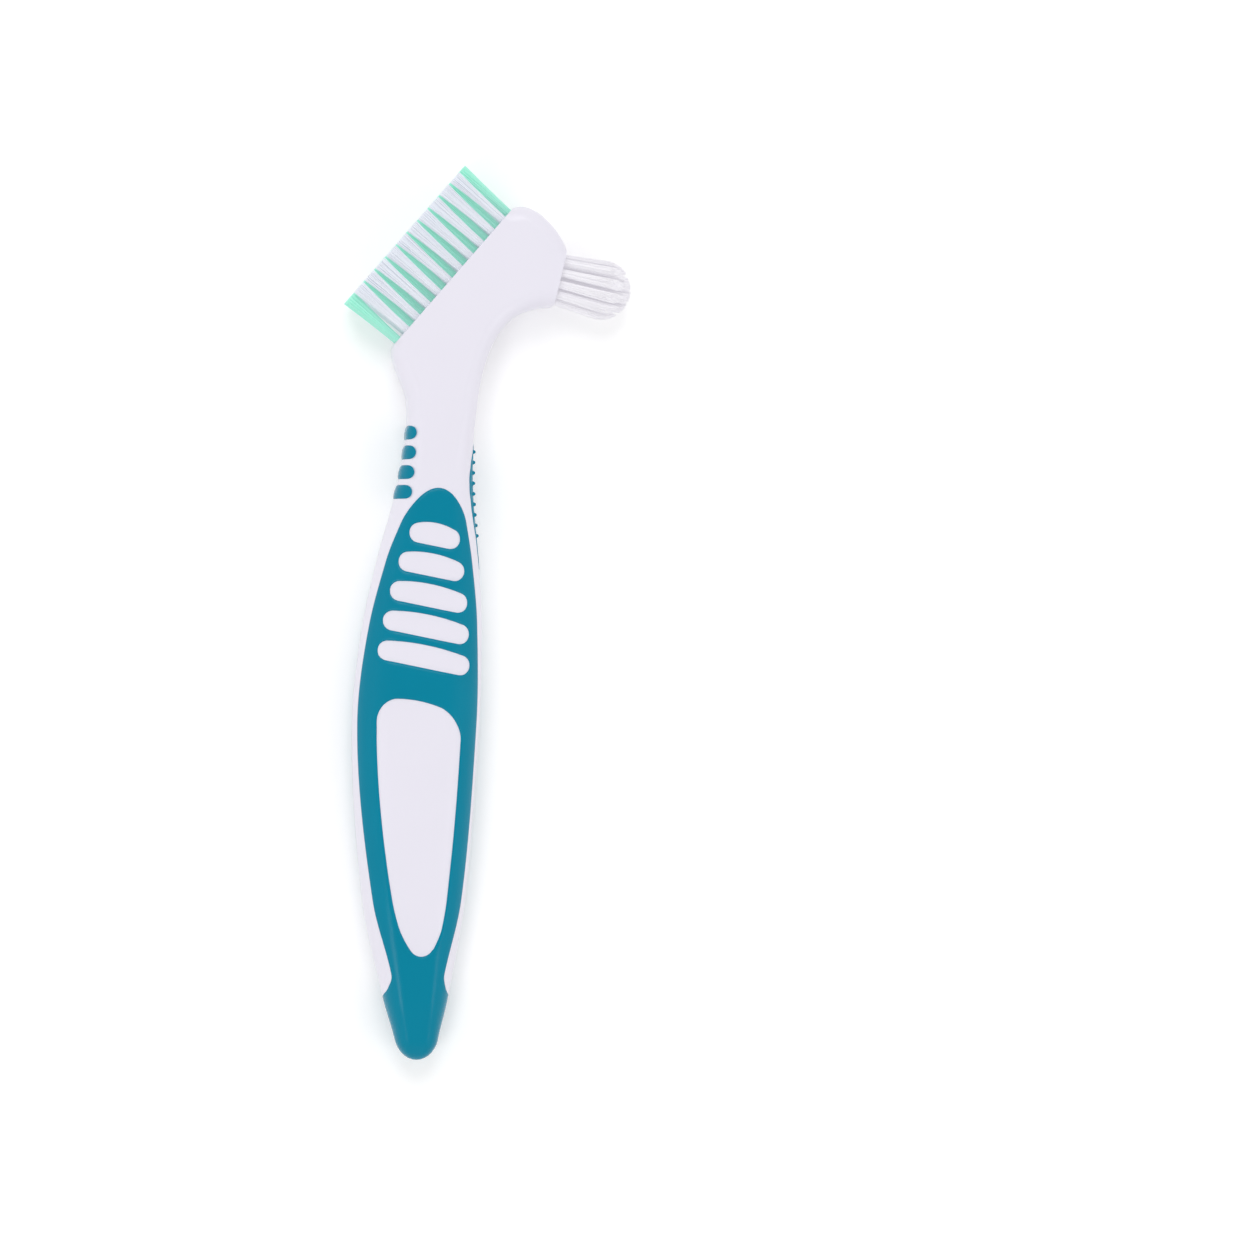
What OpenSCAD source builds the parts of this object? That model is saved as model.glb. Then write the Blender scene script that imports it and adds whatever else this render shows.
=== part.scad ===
// Denture brush with a large flat brush and a small round one on one moulded handle.
// The brush lies on its broad side: Y runs from tail to head, Z is its thickness.
// The origin is on the resting cheek of the head, under the middle of the head.

/* [Handle lengths] */
// Tail tip to the point where the soft sleeve starts to wrap all round
sleeve_length = 12.6; // [10:0.1:18]
// Sleeve to the lower palm
lower_length = 19.6; // [14:0.1:28]
// Lower palm to the widest place
belly_length = 35; // [26:0.5:44]
// Widest place to the end of the palm
palm_length = 20; // [15:0.5:26]
// End of the palm to the upper grip
upper_length = 13; // [10:0.5:17]
// Upper grip to the top of the soft grip
throat_length = 14.5; // [11:0.5:18]
// Top of the soft grip to the narrowest place of the neck
neck_length = 11.9; // [9:0.1:15]
// Narrowest place of the neck to the head
root_length = 6; // [4:0.5:9]
// Length of the rounded end of the tail
tip_round = 4; // [2:0.1:5]

/* [Handle widths] */
// Width where the rounded tail end begins
tip_width = 7.7; // [6:0.1:9]
// Width at the start of the sleeve
sleeve_width = 13.1; // [12:0.1:16]
// Width at the lower palm
lower_width = 20.7; // [18:0.1:24]
// Width at the widest place
belly_width = 25.6; // [22:0.1:30]
// Width at the end of the palm
palm_width = 24; // [21:0.1:27]
// Width at the upper grip
upper_width = 20.4; // [17:0.1:23]
// Width at the top of the soft grip
throat_width = 15.2; // [14:0.1:18]
// Width at the narrowest place of the neck
neck_width = 13.3; // [11:0.1:15]
// Width where the neck meets the head
root_width = 14.1; // [12:0.1:17]

/* [Handle form] */
// Thickness of the tail under the sleeve
tail_thickness = 10.2; // [8:0.1:12]
// Thickness of the rigid core at the widest place
belly_thickness = 14.4; // [12:0.1:16]
// Thickness at the top of the soft grip
throat_thickness = 12.8; // [11:0.1:14.5]
// Sideways lean of the centre line at the tail tip
tail_lean = 0.6; // [0:0.1:1.2]
// Sideways lean at the widest place
belly_lean = 0.4; // [0:0.1:1.5]
// Sideways lean at the upper grip
upper_lean = 2.8; // [1.5:0.1:4]
// Sideways lean at the narrowest place of the neck
neck_lean = 5.35; // [4:0.05:7]
// Sideways lean where the neck meets the head
root_lean = 5.65; // [4:0.05:7.5]
// Share of the half width that the rounded shoulder takes
shoulder_share = 0.62; // [0.5:0.01:0.7]
// Half height of the straight side wall at the top of the grip
throat_wall = 1.2; // [0.5:0.1:2.5]

/* [Head] */
// Thickness of the head between its flat cheeks
head_thickness = 15; // [14.4:0.1:17]
// Radius of the rounding between the cheeks and the side wall
head_round = 3; // [2:0.1:3.6]
// Height of the middle of the head above the end of the neck
hub_rise = 19.6; // [18:0.1:22]
// Sideways distance from the end of the neck to the middle of the head
hub_offset = 8.35; // [7:0.05:10]
// Turn of the large brush face from the X axis
large_angle = 49; // [44:0.5:54]
// Length of the large brush face
large_face_length = 36.3; // [36.2:0.1:38]
// How much further the large face runs towards the handle than away from it
large_face_run = 0.5; // [0.45:0.05:0.7]
// Distance from the middle of the head to the large brush face
large_reach = 7.9; // [6.5:0.1:9]
// Droop of the small brush below the X axis
small_angle = 13.5; // [8:0.5:18]
// Width of the small brush face
small_face_width = 11.4; // [11.2:0.1:13]
// Distance from the middle of the head to the small brush face
small_reach = 13.7; // [12.5:0.1:16]
// Height of the small brush above the middle of the head
small_offset = 8; // [7:0.1:9]

/* [Soft grip] */
// How far the soft grip stands above the core
grip_rise = 0.3; // [0.1:0.05:0.5]
// Depth of the seat of the soft parts in the broad faces
seat_depth = 1.2; // [0.8:0.1:2]
// Depth of the seat in the narrow sides
side_seat = 0.55; // [0.4:0.05:0.6]
// White margin beside the grip at the widest place
belly_margin = 0.85; // [0.8:0.05:2]
// White margin beside the grip at the lower palm
lower_margin = 1.45; // [1.3:0.05:2.6]
// White margin at the waist above the sleeve
waist_margin = 2.25; // [1.8:0.05:3]
// White margin at the upper grip
upper_margin = 1.6; // [1.2:0.05:2.5]
// White margin at the top of the grip
top_margin = 2.7; // [1.8:0.05:3.2]
// Length of the round top of the grip
top_round = 7; // [5:0.5:9]
// Distance from the sleeve to the waist
waist_rise = 4.7; // [4:0.1:7]
// Sideways shift of the grip from the centre line at its top
top_shift = 0.45; // [0:0.05:0.6]
// Sideways shift of the grip at the lower palm
lower_shift = 0.5; // [0:0.05:0.6]

/* [Grip windows] */
// Number of slots
slot_count = 5; // [3:1:5]
// Distance between slots
slot_pitch = 6.1; // [5.6:0.1:6.5]
// Height of a slot
slot_height = 3.9; // [3:0.1:4.4]
// Distance from the top of the grip to the first slot
first_slot_drop = 9.5; // [8.5:0.1:11]
// Width of the soft border beside the slots
slot_border = 2.2; // [1.8:0.05:3]
// Tilt of the slots and of the top of the long window
slot_tilt = 11.5; // [0:0.5:16]
// Height of the arch in the upper edge of a slot
slot_arch = 0.6; // [0.2:0.05:1]
// Sideways shift of the slots from the middle of the grip
slot_shift = 0.5; // [0:0.05:1]
// Distance from the top of the grip to the top of the long window
window_drop = 44.2; // [43:0.1:48]
// Height of the arch in the top of the long window
window_arch = 1.65; // [0.4:0.05:2]
// Distance from the sleeve to the bottom of the long window
window_rise = 7.4; // [7:0.1:12]
// Width of the soft border beside the long window
window_border = 3.4; // [3:0.05:5]
// Rounding of the upper corners of the long window
window_corner = 4.2; // [1:0.1:5]
// Rounding of the lower end of the long window
window_toe = 2.5; // [1.5:0.1:3]
// Sideways shift of the long window from the middle of the grip
window_shift = 0.3; // [0:0.05:1]
// Extra sideways shift at the bottom of the long window
window_sweep = 0.5; // [0:0.05:1.2]

/* [Thumb pad] */
// Length of the thumb pad
thumb_length = 26; // [20:0.5:30]
// Width of the thumb pad
thumb_width = 8.4; // [6:0.1:9]
// Distance from the end of the neck down to the top of the pad
thumb_drop = 8.2; // [6:0.1:10]
// How far the pad stands above the core
thumb_rise = 0.1; // [0.05:0.05:0.4]
// Length of the part of the pad that carries nubs
nub_run = 21; // [14:0.5:24]
// Distance between nubs along the pad
nub_pitch = 2.1; // [1.8:0.05:2.6]
// Height of a nub above the pad
nub_height = 0.45; // [0.3:0.05:0.8]
// Width of the foot of a nub
nub_width = 1.3; // [1:0.05:1.5]

/* [Finger ribs] */
// Distance between ribs
rib_pitch = 3.95; // [3.4:0.05:4.2]
// Height of a rib along the handle
rib_height = 2.8; // [2:0.1:3]
// How far a rib stands out of the side
rib_rise = 0.3; // [0.2:0.05:0.7]
// Distance from the end of the neck down to the first rib
first_rib_drop = 6.8; // [6:0.1:8]
// Reach of the first rib on to the broad face
first_rib_reach = 1.7; // [1.4:0.1:2.5]
// Growth of the reach from one rib to the next
rib_growth = 0.43; // [0.2:0.01:0.5]

/* [Bristles] */
// Distance between bundles in a row of the large brush
large_pitch = 3.25; // [3.2:0.01:3.27]
// Distance between the rows of the large brush
large_row_pitch = 2.8; // [2.75:0.01:2.85]
// Number of bundles in the shorter rows
large_count = 10; // [6:1:10]
// Extra distance of the last bundle towards the handle in the longer rows
low_end_step = 0.9; // [0:0.05:0.9]
// Extra distance of the last bundle away from the handle in the longer rows
high_end_step = 0.4; // [0:0.05:0.4]
// Hole diameter in the large brush face
large_hole = 1.9; // [1.5:0.05:2]
// Width of a bundle of the large brush at its tip
large_tip = 3.1; // [2.4:0.05:3.12]
// Length of the large brush bristles above the face
large_length = 12.9; // [9:0.1:15]
// Hole diameter in the small brush face
small_hole = 1.7; // [1.4:0.05:1.8]
// Radius of the inner ring of bundles
inner_ring = 2.3; // [2.2:0.05:2.35]
// Radius of the outer ring of bundles
outer_ring = 4.45; // [4.4:0.01:4.6]
// Width of a bundle of the small brush at its tip
small_tip = 2.4; // [1.9:0.05:2.45]
// Length of the small brush in its middle
small_length = 14.9; // [12:0.1:17]
// Radius of the domed end of the small brush
small_dome = 6.4; // [6.2:0.1:7]
// Outward lean of the outer ring in degrees
outer_lean = 3.6; // [2.5:0.1:5]
// Depth of the blind bristle holes
hole_depth = 4; // [3:0.1:5]
// Thickness of a metal anchor plate
anchor_thickness = 0.3; // [0.2:0.05:0.4]
// Height of a metal anchor plate
anchor_height = 1.6; // [1:0.1:2]

/* [Hidden] */

white = [0.93, 0.92, 0.96];
teal = [0.03, 0.51, 0.63];
mint = [0.47, 0.86, 0.74];
frost = [0.88, 0.93, 0.97];
steel = [0.75, 0.72, 0.6];

// Running gap between moulded and fitted pieces
fit_gap = 0.02;
// Gap between a bundle and the wall of its hole
bundle_gap = 0.05;
// Height of the fold of a bundle under its anchor
fold_height = 0.4;
// A cutter reaches this far past what it cuts
over = 4;
$fn = 48;

// Stations along the handle, counted from the tail tip
sleeve_y = sleeve_length;
lower_y = sleeve_y + lower_length;
belly_y = lower_y + belly_length;
palm_y = belly_y + palm_length;
upper_y = palm_y + upper_length;
throat_y = upper_y + throat_length;
neck_y = throat_y + neck_length;
root_y = neck_y + root_length;
hub = [root_lean + hub_offset, root_y + hub_rise];

// The rest plane lies under the thicker of head and gripped belly
mid_z = max(head_thickness, belly_thickness + 2 * grip_rise) / 2;

// Share of the tail's thickness left at its tip
tip_thinning = 0.62;
// Half height of the side wall where the section is fully rounded
round_wall = 0.3;

width_stations = [
    [0, tip_width],
    [sleeve_y, sleeve_width],
    [lower_y, lower_width],
    [belly_y, belly_width],
    [palm_y, palm_width],
    [upper_y, upper_width],
    [throat_y, throat_width],
    [neck_y, neck_width],
    [root_y, root_width]
];
thickness_stations = [
    [0, tail_thickness * tip_thinning],
    [sleeve_y, tail_thickness],
    [lower_y, (tail_thickness + 2 * belly_thickness) / 3],
    [belly_y, belly_thickness],
    [throat_y, throat_thickness],
    [root_y, head_thickness]
];
lean_stations = [
    [0, tail_lean],
    [sleeve_y, 0.6 * tail_lean],
    [lower_y, 0],
    [belly_y, belly_lean],
    [upper_y, upper_lean],
    [neck_y, neck_lean],
    [root_y, root_lean]
];
wall_stations = [
    [0, round_wall],
    [belly_y, round_wall],
    [throat_y, throat_wall],
    [root_y, head_thickness / 2 - head_round]
];
shoulder_stations = [
    [0, shoulder_share],
    [belly_y, shoulder_share],
    [throat_y, shoulder_share],
    [root_y, 2 * head_round / root_width]
];
margin_stations = [
    [sleeve_y, -0.05],
    [sleeve_y + 0.4 * waist_rise, 0.5 * waist_margin],
    [sleeve_y + waist_rise, waist_margin],
    [lower_y, lower_margin],
    [belly_y, belly_margin],
    [upper_y, upper_margin],
    [throat_y, top_margin]
];

shift_stations = [
    [sleeve_y, 0],
    [sleeve_y + waist_rise, 0.8 * lower_shift],
    [lower_y, lower_shift],
    [belly_y, 0.2 * lower_shift],
    [upper_y, 0.2 * top_shift],
    [throat_y, top_shift]
];

// Slope of a station list at one of its points, level at both ends
function slope(s, i) =
    i == 0 || i == len(s) - 1 ? 0 : (s[i + 1][1] - s[i - 1][1]) / (s[i + 1][0] - s[i - 1][0]);

// Smooth curve through a list of stations
function curve_at(s, y) =
    let (
        past = [for (i = [0:len(s) - 2]) if (y >= s[i][0]) i],
        i = len(past) == 0 ? 0 : past[len(past) - 1],
        span = s[i + 1][0] - s[i][0],
        u = min(1, max(0, (y - s[i][0]) / span))
    )
    (1 + 2 * u) * pow(1 - u, 2) * s[i][1]
    + u * pow(1 - u, 2) * span * slope(s, i)
    + u * u * (3 - 2 * u) * s[i + 1][1]
    + u * u * (u - 1) * span * slope(s, i + 1);

// Share of the full section left at a height in the rounded tail end
function tip_share(y) = y >= tip_round ? 1 : max(0.25, sqrt(1 - pow(1 - y / tip_round, 2)));

function spine_x(y) = curve_at(lean_stations, y);
function half_width(y) = tip_share(y) * curve_at(width_stations, y) / 2;
function half_thickness(y) = tip_share(y) * curve_at(thickness_stations, y) / 2;
function shoulder(y) = half_width(y) * curve_at(shoulder_stations, y);

// Point of a cubic curve with two handles
function bezier_point(a, b, c, d, t) =
    pow(1 - t, 3) * a + 3 * t * pow(1 - t, 2) * b + 3 * t * t * (1 - t) * c + pow(t, 3) * d;

function bezier(a, b, c, d, steps) =
    [for (i = [0:steps]) bezier_point(a, b, c, d, i / steps)];

// Steps of the rounding between a broad face and a side wall
round_steps = 6;

// Points of one upright column: its wall, then the rounding to both broad faces
function column(foot, inward, round_in, wall, half) =
    [
        for (side = [-1, 1])
        for (i = [0:round_steps])
        let (
            turn = 90 * (side < 0 ? round_steps - i : i) / round_steps,
            across = round_in * (1 - cos(turn)),
            height = side * (wall + (half - wall) * sin(turn))
        )
        [foot.x + inward.x * across, foot.y + inward.y * across, height]
    ];

// Column on the left (-1) or right (1) side of the handle, set in by two depths
function handle_column(y, side, set_in) =
    let (
        half = half_thickness(y) - set_in[1],
        wide = half_width(y) - set_in[0],
        wall = min(curve_at(wall_stations, y), half - 1)
    )
    column([spine_x(y) + side * wide, y], [-side, 0], shoulder(y) - set_in[0], max(0.2, wall), half);

// Heights of the handle's sections between two ends
section_step = 3.2;
tip_sections = [0, 0.06, 0.16, 0.32, 0.55, 1];

function section_heights(from, to) =
    let (
        start = max(from, tip_round),
        count = ceil((to - start) / section_step)
    )
    concat(
        [for (share = tip_sections) if (share * tip_round >= from && share < 1) share * tip_round],
        [for (i = [0:count]) start + (to - start) * i / count]
    );

// Sections of the seat under the soft parts, the same for every piece that meets it
seat_step = 6;
seat_top = root_y - 2;
seat_count = ceil((seat_top - seat_depth) / seat_step);
seat_heights = [for (i = [0:seat_count]) seat_depth + (seat_top - seat_depth) * i / seat_count];

// Ear clipping: cuts a flat outline into triangles
function turn_of(a, b, c) = (b.x - a.x) * (c.y - a.y) - (b.y - a.y) * (c.x - a.x);

function holds(a, b, c, p) = turn_of(a, b, p) >= 0 && turn_of(b, c, p) >= 0 && turn_of(c, a, p) >= 0;

function ear_at(pts, ring, i) =
    let (
        n = len(ring),
        a = ring[(i + n - 1) % n],
        b = ring[i],
        c = ring[(i + 1) % n]
    )
    turn_of(pts[a], pts[b], pts[c]) > 0
    && len([for (k = ring) if (k != a && k != b && k != c && holds(pts[a], pts[b], pts[c], pts[k])) k]) == 0;

function triangles_of(pts, ring) =
    let (n = len(ring))
    n == 3 ? [ring] :
    let (
        ears = [for (i = [0:n - 1]) if (ear_at(pts, ring, i)) i],
        cut = ears[0],
        rest = [for (i = [0:n - 1]) if (i != cut) ring[i]]
    )
    concat([[ring[(cut + n - 1) % n], ring[cut], ring[(cut + 1) % n]]], triangles_of(pts, rest));

// Closed body from columns: up the right side, round the head, down the left side
module skin(right, head, left) {
    sides = len(right);
    columns = concat(right, head, [for (i = [sides - 1:-1:0]) left[i]]);
    total = len(columns);
    rows = len(columns[0]);
    top = rows - 1;
    walls = [
        for (i = [0:total - 1])
        for (j = [0:rows - 2])
        let (
            a = i * rows + j,
            b = ((i + 1) % total) * rows + j
        )
        each [[a, a + 1, b + 1], [a, b + 1, b]]
    ];
    strips = [
        for (k = [0:sides - 2])
        let (
            r = k * rows,
            l = (total - 1 - k) * rows
        )
        each [
            [r + top, l + top, l - rows + top],
            [r + top, l - rows + top, r + rows + top],
            [r, l - rows, l],
            [r, r + rows, l - rows]
        ]
    ];
    crown = [for (c = columns) [c[top].x, c[top].y]];
    head_ring = [for (i = [sides - 1:sides + len(head)]) i];
    cheeks = len(head) == 0 ? [] : [
        for (t = triangles_of(crown, head_ring))
        each [
            [for (i = [2:-1:0]) t[i] * rows + top],
            [for (i = t) i * rows]
        ]
    ];
    polyhedron(points = [for (c = columns) each c], faces = concat(walls, strips, cheeks), convexity = 8);
}

// Handle through a list of heights, set in from the sides and from the broad faces
module handle_skin(heights, set_in) {
    skin(
        [for (y = heights) handle_column(y, 1, set_in)],
        [],
        [for (y = heights) handle_column(y, -1, set_in)]
    );
}

// Directions along and out of the two brush faces
function along(angle) = [cos(angle), sin(angle)];

large_out = along(large_angle + 90);
large_along = along(large_angle);
small_out = along(-small_angle);
small_along = along(90 - small_angle);
large_centre = hub + large_out * large_reach;
small_centre = hub + small_out * small_reach + small_along * small_offset;

// Pulls of the head's curves at the neck, the two brush faces and the heel
throat_pull = [1.3, 8.4];
chin_pull = [-11.5, -0.2];
brow_pull = [-0.6, 2.8];
crown_pull = [4.7, 1.7];
heel_pull = [-1.35, -2.7];
nape_pull = [-1, 4.1];

// Outline of the head from the right of the neck round to its left
function head_outline() =
    let (
        neck_right = [root_lean + root_width / 2, root_y],
        neck_left = [root_lean - root_width / 2, root_y],
        small_low = small_centre - small_along * small_face_width / 2,
        small_high = small_centre + small_along * small_face_width / 2,
        large_high = large_centre + large_along * (large_face_length / 2 - large_face_run / 2),
        large_low = large_centre - large_along * (large_face_length / 2 + large_face_run / 2)
    )
    concat(
        bezier(neck_right, neck_right + throat_pull, small_low + chin_pull, small_low, 14),
        [small_low + small_out * over, small_high + small_out * over],
        bezier(small_high, small_high + brow_pull, large_high + crown_pull, large_high, 12),
        [large_high + large_out * over, large_low + large_out * over],
        bezier(large_low, large_low + heel_pull, neck_left + nape_pull, neck_left, 8)
    );

// Inward direction at a point of an outline, long enough to keep an even inset
function inward_at(pts, i) =
    let (
        before = pts[i] - pts[i - 1],
        after = pts[i + 1] - pts[i],
        u = before / norm(before),
        v = after / norm(after),
        bisector = [-u.y - v.y, u.x + v.x]
    )
    2 * bisector / (bisector * bisector);

module body_skin() {
    outline = head_outline();
    heights = section_heights(0, root_y);
    wall = head_thickness / 2 - head_round;
    skin(
        [for (y = heights) handle_column(y, 1, [0, 0])],
        [
            for (i = [1:len(outline) - 2])
            column(outline[i], inward_at(outline, i), head_round, wall, head_thickness / 2)
        ],
        [for (y = heights) handle_column(y, -1, [0, 0])]
    );
}

// Middle and half width of the soft grip, with its rounded top
function grip_x(y) = spine_x(y) + curve_at(shift_stations, y);

function top_share(y) =
    let (u = (y - throat_y + top_round) / top_round)
    u <= 0 ? 1 : sqrt(max(0, 1 - u * u));

function grip_half(y) = top_share(y) * (half_width(y) - curve_at(margin_stations, y));

grip_step = 2.6;
grip_heights = let (top = throat_y - top_round, count = ceil((top - sleeve_y - waist_rise) / grip_step))
    concat(
        [for (i = [0:4]) sleeve_y + waist_rise * i / 5],
        [for (i = [0:count]) sleeve_y + waist_rise + (top - sleeve_y - waist_rise) * i / count],
        [for (turn = [12:12:84]) top + top_round * sin(turn)]
    );

module grip_outline() {
    polygon(concat(
        [[belly_width, -over], [belly_width, sleeve_y]],
        [for (y = grip_heights) [grip_x(y) + grip_half(y), y]],
        [[grip_x(throat_y), throat_y]],
        [for (i = [len(grip_heights) - 1:-1:0]) let (y = grip_heights[i]) [grip_x(y) - grip_half(y), y]],
        [[-belly_width, sleeve_y], [-belly_width, -over]]
    ));
}

// Height of a tilted, arched edge above its middle
function tilted_edge(x, half, arch) = -x * tan(slot_tilt) + arch * (1 - pow(x / half, 2));

module slot_outline(number) {
    y = throat_y - first_slot_drop - number * slot_pitch;
    r = slot_height / 2;
    flat = grip_half(y) - slot_border - r;
    steps = 6;
    translate([grip_x(y) + slot_shift, y])
        offset(r = r, $fn = 32)
            polygon(concat(
                [[-flat, tilted_edge(-flat, flat, 0) - slot_arch / 4]],
                [[flat, tilted_edge(flat, flat, 0) - slot_arch / 4]],
                [for (i = [steps:-1:-steps]) let (x = flat * i / steps) [x, tilted_edge(x, flat, slot_arch)]]
            ));
}

window_top = throat_y - window_drop;
window_bottom = sleeve_y + window_rise;
window_round = 7;

function window_x(y) =
    grip_x(y) + window_shift + window_sweep * pow(max(0, (lower_y + window_round - y) / lower_length), 1.5);

function window_half(y) =
    let (u = (window_bottom + window_round - y) / window_round)
    (u <= 0 ? 1 : sqrt(max(0, 1 - u * u))) * (grip_half(y) - window_border);

// Sides of the long window where its two upper corners end, below its tilted top
corner_tilt = window_half(window_top) * tan(slot_tilt);
right_corner_y = window_top - window_corner - corner_tilt;
left_corner_y = window_top - window_corner + corner_tilt;
right_corner_x = window_x(right_corner_y) + window_half(right_corner_y);
left_corner_x = window_x(left_corner_y) - window_half(left_corner_y);

// Drop of the rounded upper corners below the arched top of the long window
function corner_drop(x, half) =
    let (u = max(0, (abs(x) - half + window_corner) / window_corner))
    window_corner * (1 - sqrt(max(0, 1 - u * u)));

module window_outline() {
    steps = 10;
    straight = window_top + over - window_bottom - window_round;
    count = ceil(straight / grip_step);
    heights = concat(
        [for (turn = [78:-12:6]) window_bottom + window_round * (1 - sin(turn))],
        [for (i = [0:count]) window_bottom + window_round + straight * i / count]
    );
    half = (right_corner_x - left_corner_x) / 2;
    middle = (right_corner_x + left_corner_x) / 2;
    offset(r = window_toe)
        offset(delta = -window_toe)
            intersection() {
                polygon(concat(
                    [[window_x(window_bottom), window_bottom]],
                    [for (y = heights) [window_x(y) + window_half(y), y]],
                    [for (i = [len(heights) - 1:-1:0]) let (y = heights[i]) [window_x(y) - window_half(y), y]]
                ));
                polygon(concat(
                    [for (i = [steps:-1:-steps])
                        let (x = half * sin(90 * i / steps))
                        [middle + x, window_top + tilted_edge(x, half, window_arch) - corner_drop(x, half)]],
                    [[middle - half, 0], [middle + half, 0]]
                ));
            }
}

module through_both_faces() {
    translate([0, 0, -head_thickness])
        linear_extrude(2 * head_thickness)
            children();
}

module windows() {
    through_both_faces() {
        for (number = [0:slot_count - 1]) slot_outline(number);
        window_outline();
    }
}

// Core that stays under the soft parts, between two heights
module under_skin(from, to) {
    reach = (seat_top - seat_depth) / seat_count;
    handle_skin([for (y = seat_heights) if (y > from - reach && y < to + reach) y], [side_seat, seat_depth]);
}

// Thumb pad: a leaf seen from the narrow right side
thumb_top = root_y - thumb_drop;
thumb_tail = thumb_top - thumb_length;

// The leaf is fullest above its middle
leaf_skew = 0.52;
leaf_fullness = 0.8;

function leaf_half(y) =
    let (u = (thumb_top - y) / thumb_length)
    thumb_width / 2 * pow(sin(180 * pow(u, leaf_skew)), leaf_fullness);

module leaf_prism() {
    steps = 16;
    rotate([90, 0, 90])
        linear_extrude(belly_width)
            polygon(concat(
                [[thumb_tail, 0]],
                [for (i = [steps - 1:-1:1]) let (y = thumb_top - thumb_length * i / steps) [y, -leaf_half(y)]],
                [[thumb_top, 0]],
                [for (i = [1:steps - 1]) let (y = thumb_top - thumb_length * i / steps) [y, leaf_half(y)]]
            ));
}

// Place of the side wall on the right at a height above the middle plane
function side_x(y, z) =
    let (
        wall = curve_at(wall_stations, y),
        u = max(0, abs(z) - wall) / (half_thickness(y) - wall)
    )
    spine_x(y) + half_width(y) - shoulder(y) * (1 - sqrt(1 - u * u));

// Depth of a nub's foot in the pad, and where the nubs start and stand
nub_sink = 0.3;
first_nub = 2.4;
nub_columns = [-1, 0, 1];
nub_spread = thumb_width / 4;

module nubs() {
    for (column_number = nub_columns)
        for (y = [thumb_top - first_nub:-nub_pitch:thumb_top - nub_run]) {
            z = column_number * nub_spread;
            if (leaf_half(y) > abs(z) + nub_width / 2)
                translate([side_x(y, z) + thumb_rise - nub_sink, y, z])
                    rotate([0, 90, 0])
                        cylinder(h = nub_height + nub_sink, d1 = nub_width, d2 = nub_width / 3, $fn = 24);
        }
}

// Finger rib: a bar with round ends seen from the broad side
module rib_prism(number) {
    y = root_y - first_rib_drop - number * rib_pitch;
    reach = first_rib_reach + number * rib_growth;
    r = rib_height / 2;
    tip = spine_x(y) - half_width(y) + reach - r;
    translate([0, 0, -head_thickness])
        linear_extrude(2 * head_thickness)
            polygon(concat(
                [[tip - over - reach, y + r], [tip - over - reach, y - r]],
                [for (a = [-90:15:90]) [tip + r * cos(a), y + r * sin(a)]]
            ));
}

// Domed body of a rib: level with the core at its two long edges, proud in its middle
module rib_skin(number) {
    y = root_y - first_rib_drop - number * rib_pitch;
    bulges = [for (turn = [-90:30:90]) [sin(turn), cos(turn)]];
    skin(
        [for (b = bulges) handle_column(y + b[0] * rib_height / 2, 1, -b[1] * [rib_rise, grip_rise])],
        [],
        [for (b = bulges) handle_column(y + b[0] * rib_height / 2, -1, -b[1] * [rib_rise, grip_rise])]
    );
}

module soft_seats() {
    difference() {
        union() {
            difference() {
                through_both_faces() grip_outline();
                windows();
            }
            leaf_prism();
            for (number = [0:3]) rib_prism(number);
        }
        under_skin(0, root_y);
    }
}

// Everything is drawn from the tail tip in the middle plane, then moved to the part's frame
module in_frame() {
    translate([-hub.x, -hub.y, mid_z])
        children();
}

// Frame of each brush face: its middle at the origin, its bristles along Z
module on_large_face() {
    translate([large_centre.x, large_centre.y, 0])
        rotate([0, 0, large_angle])
            rotate([-90, 0, 0])
                children();
}

module on_small_face() {
    translate([small_centre.x, small_centre.y, 0])
        rotate([0, 0, -small_angle])
            rotate([0, 90, 0])
                children();
}

// Places of the bundles in a row of the large brush, counted from the upper face down
function large_places(row) =
    let (
        longer = row % 2 == 0,
        count = longer ? large_count + 1 : large_count
    )
    [
        for (i = [0:count - 1])
        let (step = !longer ? 0 : i == 0 ? -low_end_step : i == count - 1 ? high_end_step : 0)
        [(i - (count - 1) / 2) * large_pitch + step, (row - 3) * large_row_pitch]
    ];

function ring_places(radius, count, start) =
    [for (i = [0:count - 1]) let (a = start + 360 * i / count) [radius * cos(a), radius * sin(a), a]];

ring_turn = 15;
inner_places = ring_places(inner_ring, 6, ring_turn);
outer_places = ring_places(outer_ring, 12, ring_turn);

module holes(places, hole) {
    for (place = places)
        translate([place[0], place[1], -hole_depth])
            cylinder(h = hole_depth + over, d = hole);
}

module anchor(hole, gap) {
    width = hole + 2 * gap - 2 * bundle_gap - 2 * fit_gap;
    translate([-width / 2, -anchor_thickness / 2 - gap, fold_height + bundle_gap - hole_depth - gap])
        cube([width, anchor_thickness + 2 * gap, anchor_height + 2 * gap]);
}

module anchors(places, hole) {
    for (place = places)
        translate([place[0], place[1], 0])
            anchor(hole, 0);
}

// Bundle folded over its anchor, spreading from the mouth of its hole to its tip
module bundle(hole, tip, length, lean, towards) {
    foot = hole - 2 * bundle_gap;
    difference() {
        union() {
            translate([0, 0, bundle_gap - hole_depth])
                cylinder(h = hole_depth - bundle_gap, d = foot);
            rotate([0, 0, towards])
                rotate([0, lean, 0])
                    cylinder(h = length, d1 = foot, d2 = tip);
        }
        anchor(hole + 2 * bundle_gap, fit_gap);
    }
}

module large_row(row) {
    color(row % 2 == 1 ? frost : mint)
        in_frame()
            on_large_face()
                for (place = large_places(row))
                    translate([place[0], place[1], 0])
                        bundle(large_hole, large_tip, large_length, 0, 0);
}

module large_row_anchors(row) {
    color(steel)
        in_frame()
            on_large_face()
                anchors(large_places(row), large_hole);
}

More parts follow.
